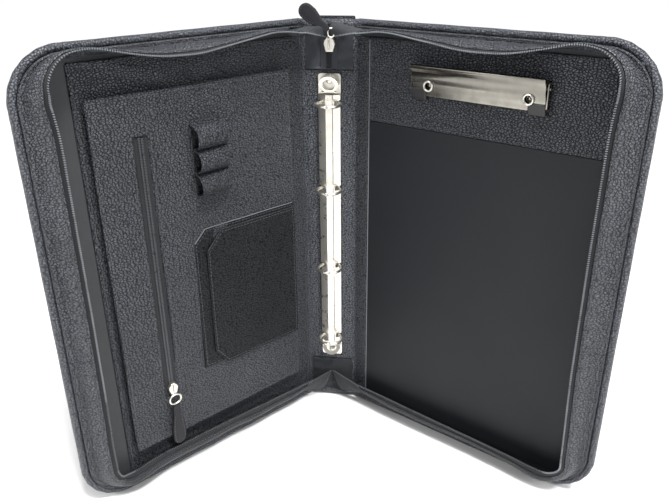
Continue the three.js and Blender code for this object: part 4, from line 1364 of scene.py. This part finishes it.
def slotted_grid(outline, slot_low, slot_high):
    """A grid over a rectangle that has lines close by on both sides of each edge of a slot."""
    corners = np.array(outline)
    near = margin_steps(1.0 * MM)
    around = np.array([-3.2, -2.2, -1.4, -0.7, -0.5, 0, 0.5, 0.9]) * MM

    def lines(low, high, a, b, step):
        inner = np.arange(low + near[-1] + 2 * MM, high - near[-1] - 2 * MM, step)
        inner = inner[(np.abs(inner - a) > 4 * MM) & (np.abs(inner - b) > 4 * MM)]
        return np.unique(np.round(np.concatenate([low + near, high - near, inner, a + around, b - around]),
                                  7))

    us = lines(*corners[:, 0][[corners[:, 0].argmin(), corners[:, 0].argmax()]], slot_low[0], slot_high[0],
               4.5 * MM)
    zs = lines(corners[:, 1].min(), corners[:, 1].max(), slot_low[1], slot_high[1], 5 * MM)
    low, high = corners[:, 0].min(), corners[:, 0].max()
    rows = []
    for z in np.clip(zs, corners[:, 1].min() + 1e-6, corners[:, 1].max() - 1e-6):
        a, b = chord(outline, z)
        row = us.copy()
        squeeze_low, squeeze_high = us < low + 4 * MM, us > high - 4 * MM
        row[squeeze_low] = a + (us[squeeze_low] - low) * (low + 4 * MM - a) / (4 * MM)
        row[squeeze_high] = b - (high - us[squeeze_high]) * (b - high + 4 * MM) / (4 * MM)
        rows.append(columns(row, z))
    return np.array(rows)


# ---- Inside the right cover -------------------------------------------------------------------

def right_inside():
    loc = RIGHT
    _, face, _, low, high = fitted("hinge_strip", loc, "right_hinge_strip", 1 * MM, LEATHER, "leather",
                                   0.7 * MM,
                                   3.5 * MM, lambda u, z: 0.15 * MM * waves(u, z, 131, 40 * MM), 3)
    seam = high[0] - 2 * MM
    stitches("hinge_strip_stitches", loc, [(seam, low[2] + 3 * MM), (seam, high[2] - 3 * MM)], face)
    # A thin rolled line along the strip's free edge, coloured light as a painted highlight.
    heights = np.linspace(low[2] + 2 * MM, high[2] - 2 * MM, 60)
    line = [(high[0] + 0.15 * MM, high[1] - 0.2 * MM, z) for z in heights]
    piece("hinge_strip_highlight_line", *tube(loc.world(line), 0.45 * MM, 8), EDGE_HIGHLIGHT, loc.body, "leather")

    _, face, outline, _, _ = fitted("header_leather", loc, "right_leather_header", 2 * MM, LEATHER, "leather",
                                    0.8 * MM, 4 * MM, lambda u, z: 0.2 * MM * waves(u, z, 141, 60 * MM))
    stitches("header_stitches", loc, inset(outline, 2.4 * MM), face, True)

    fitted("writing_panel", loc, "right_writing_panel", 2 * MM, PANEL, "lining", 0.6 * MM, 7 * MM,
           lambda u, z: 0.15 * MM * waves(u, z, 151, 150 * MM))

    refined("clip_base", CHROME_PAINTED_REFLECTION, 0.2 * MM)
    refined("clip_lever", CHROME_PAINTED_REFLECTION, 0.2 * MM, 30)
    refined("clip_pin", CHROME_PAINTED_REFLECTION, 0.2 * MM)
    refined("clip_spring", CHROME_PAINTED_REFLECTION, 0.1 * MM)
    for side in ("left", "right"):
        low, high = loc.span(f"clip_rivet_{side}")
        middle = middle_of(low, high)
        domed_rivet(f"clip_rivet_{side}_head", loc, middle, 3.2 * MM, low[1], 7.3 * MM, f"clip_rivet_{side}")
        turn = np.linspace(0, 2 * np.pi, 32, endpoint=False)
        crest = lever_height(loc, middle) + 0.35 * MM
        ring = np.stack([middle[0] + 3.7 * MM * np.cos(turn), np.full(32, crest),
                         middle[1] + 3.7 * MM * np.sin(turn)], axis=1)
        piece(f"clip_boss_{side}", *tube(loc.world(ring), 0.85 * MM, 12, True), NICKEL, "clip_lever",
              "nickel")
        low, high = loc.span(f"clip_jaw_tip_{side}")
        out = 1 if side == "right" else -1
        a, b = (low[0] - 2.0 * MM, high[0] + 1.0 * MM)[::out]
        outline = rounded(min(a, b), low[2] - 1.0 * MM, max(a, b), high[2] + 3.2 * MM, 1.4 * MM)
        boot, _ = panel(f"clip_jaw_boot_{side}", loc, outline, low[1] - 0.1 * MM, high[1] + 0.6 * MM, JAW,
                        "jaw_plastic",
                        1.2 * MM, 1.5 * MM, lambda u, z: 0.16 * (z - low[2]), "clip_lever")
        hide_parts(f"clip_jaw_tip_{side}")


def lever_height(loc, middle):
    """How high the clip's plate stands round one of its holes."""
    source = frame["nodes"]["clip_lever"]
    points = loc.local(np.array([tuple(source.matrix_world @ v.co) for v in source.data.vertices]))
    near = np.hypot(points[:, 0] - middle[0], points[:, 2] - middle[1]) < 6 * MM
    return points[near, 1].max() if near.any() else points[:, 1].max()


def domed_rivet(name, loc, centre, radius, low, top, node):
    """A round rivet head with a dome and a rolled rim."""
    turn = np.linspace(0, 2 * np.pi, 28, endpoint=False)
    rings = []
    for r, h in ((1.0, 0.0), (1.0, 0.45), (0.93, 0.62), (0.72, 0.6), (0.66, 0.72), (0.5, 0.9), (0.25, 1.0),
                 (0.04, 1.02)):
        rings.append(loc.at(centre[0] + r * radius * np.cos(turn), low + h * (top - low),
                            centre[1] + r * radius * np.sin(turn)))
    made = piece(name, *sleeve(np.array(rings)), CHROME_PAINTED_REFLECTION, loc.body, "nickel", 50)
    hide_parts(node)


look()
studio()
spine_parts()
main_zip()
ring_mechanism()
left_inside()
right_inside()
for side, loc, way in (("left", LEFT, -1), ("right", RIGHT, 1)):
    cover_layers(side, loc)
    band = cover_edge(side, loc)
    hinge_leather(side, loc, way)
    for where in ("top", "bottom"):
        gusset_end(side, loc, way, band, where)
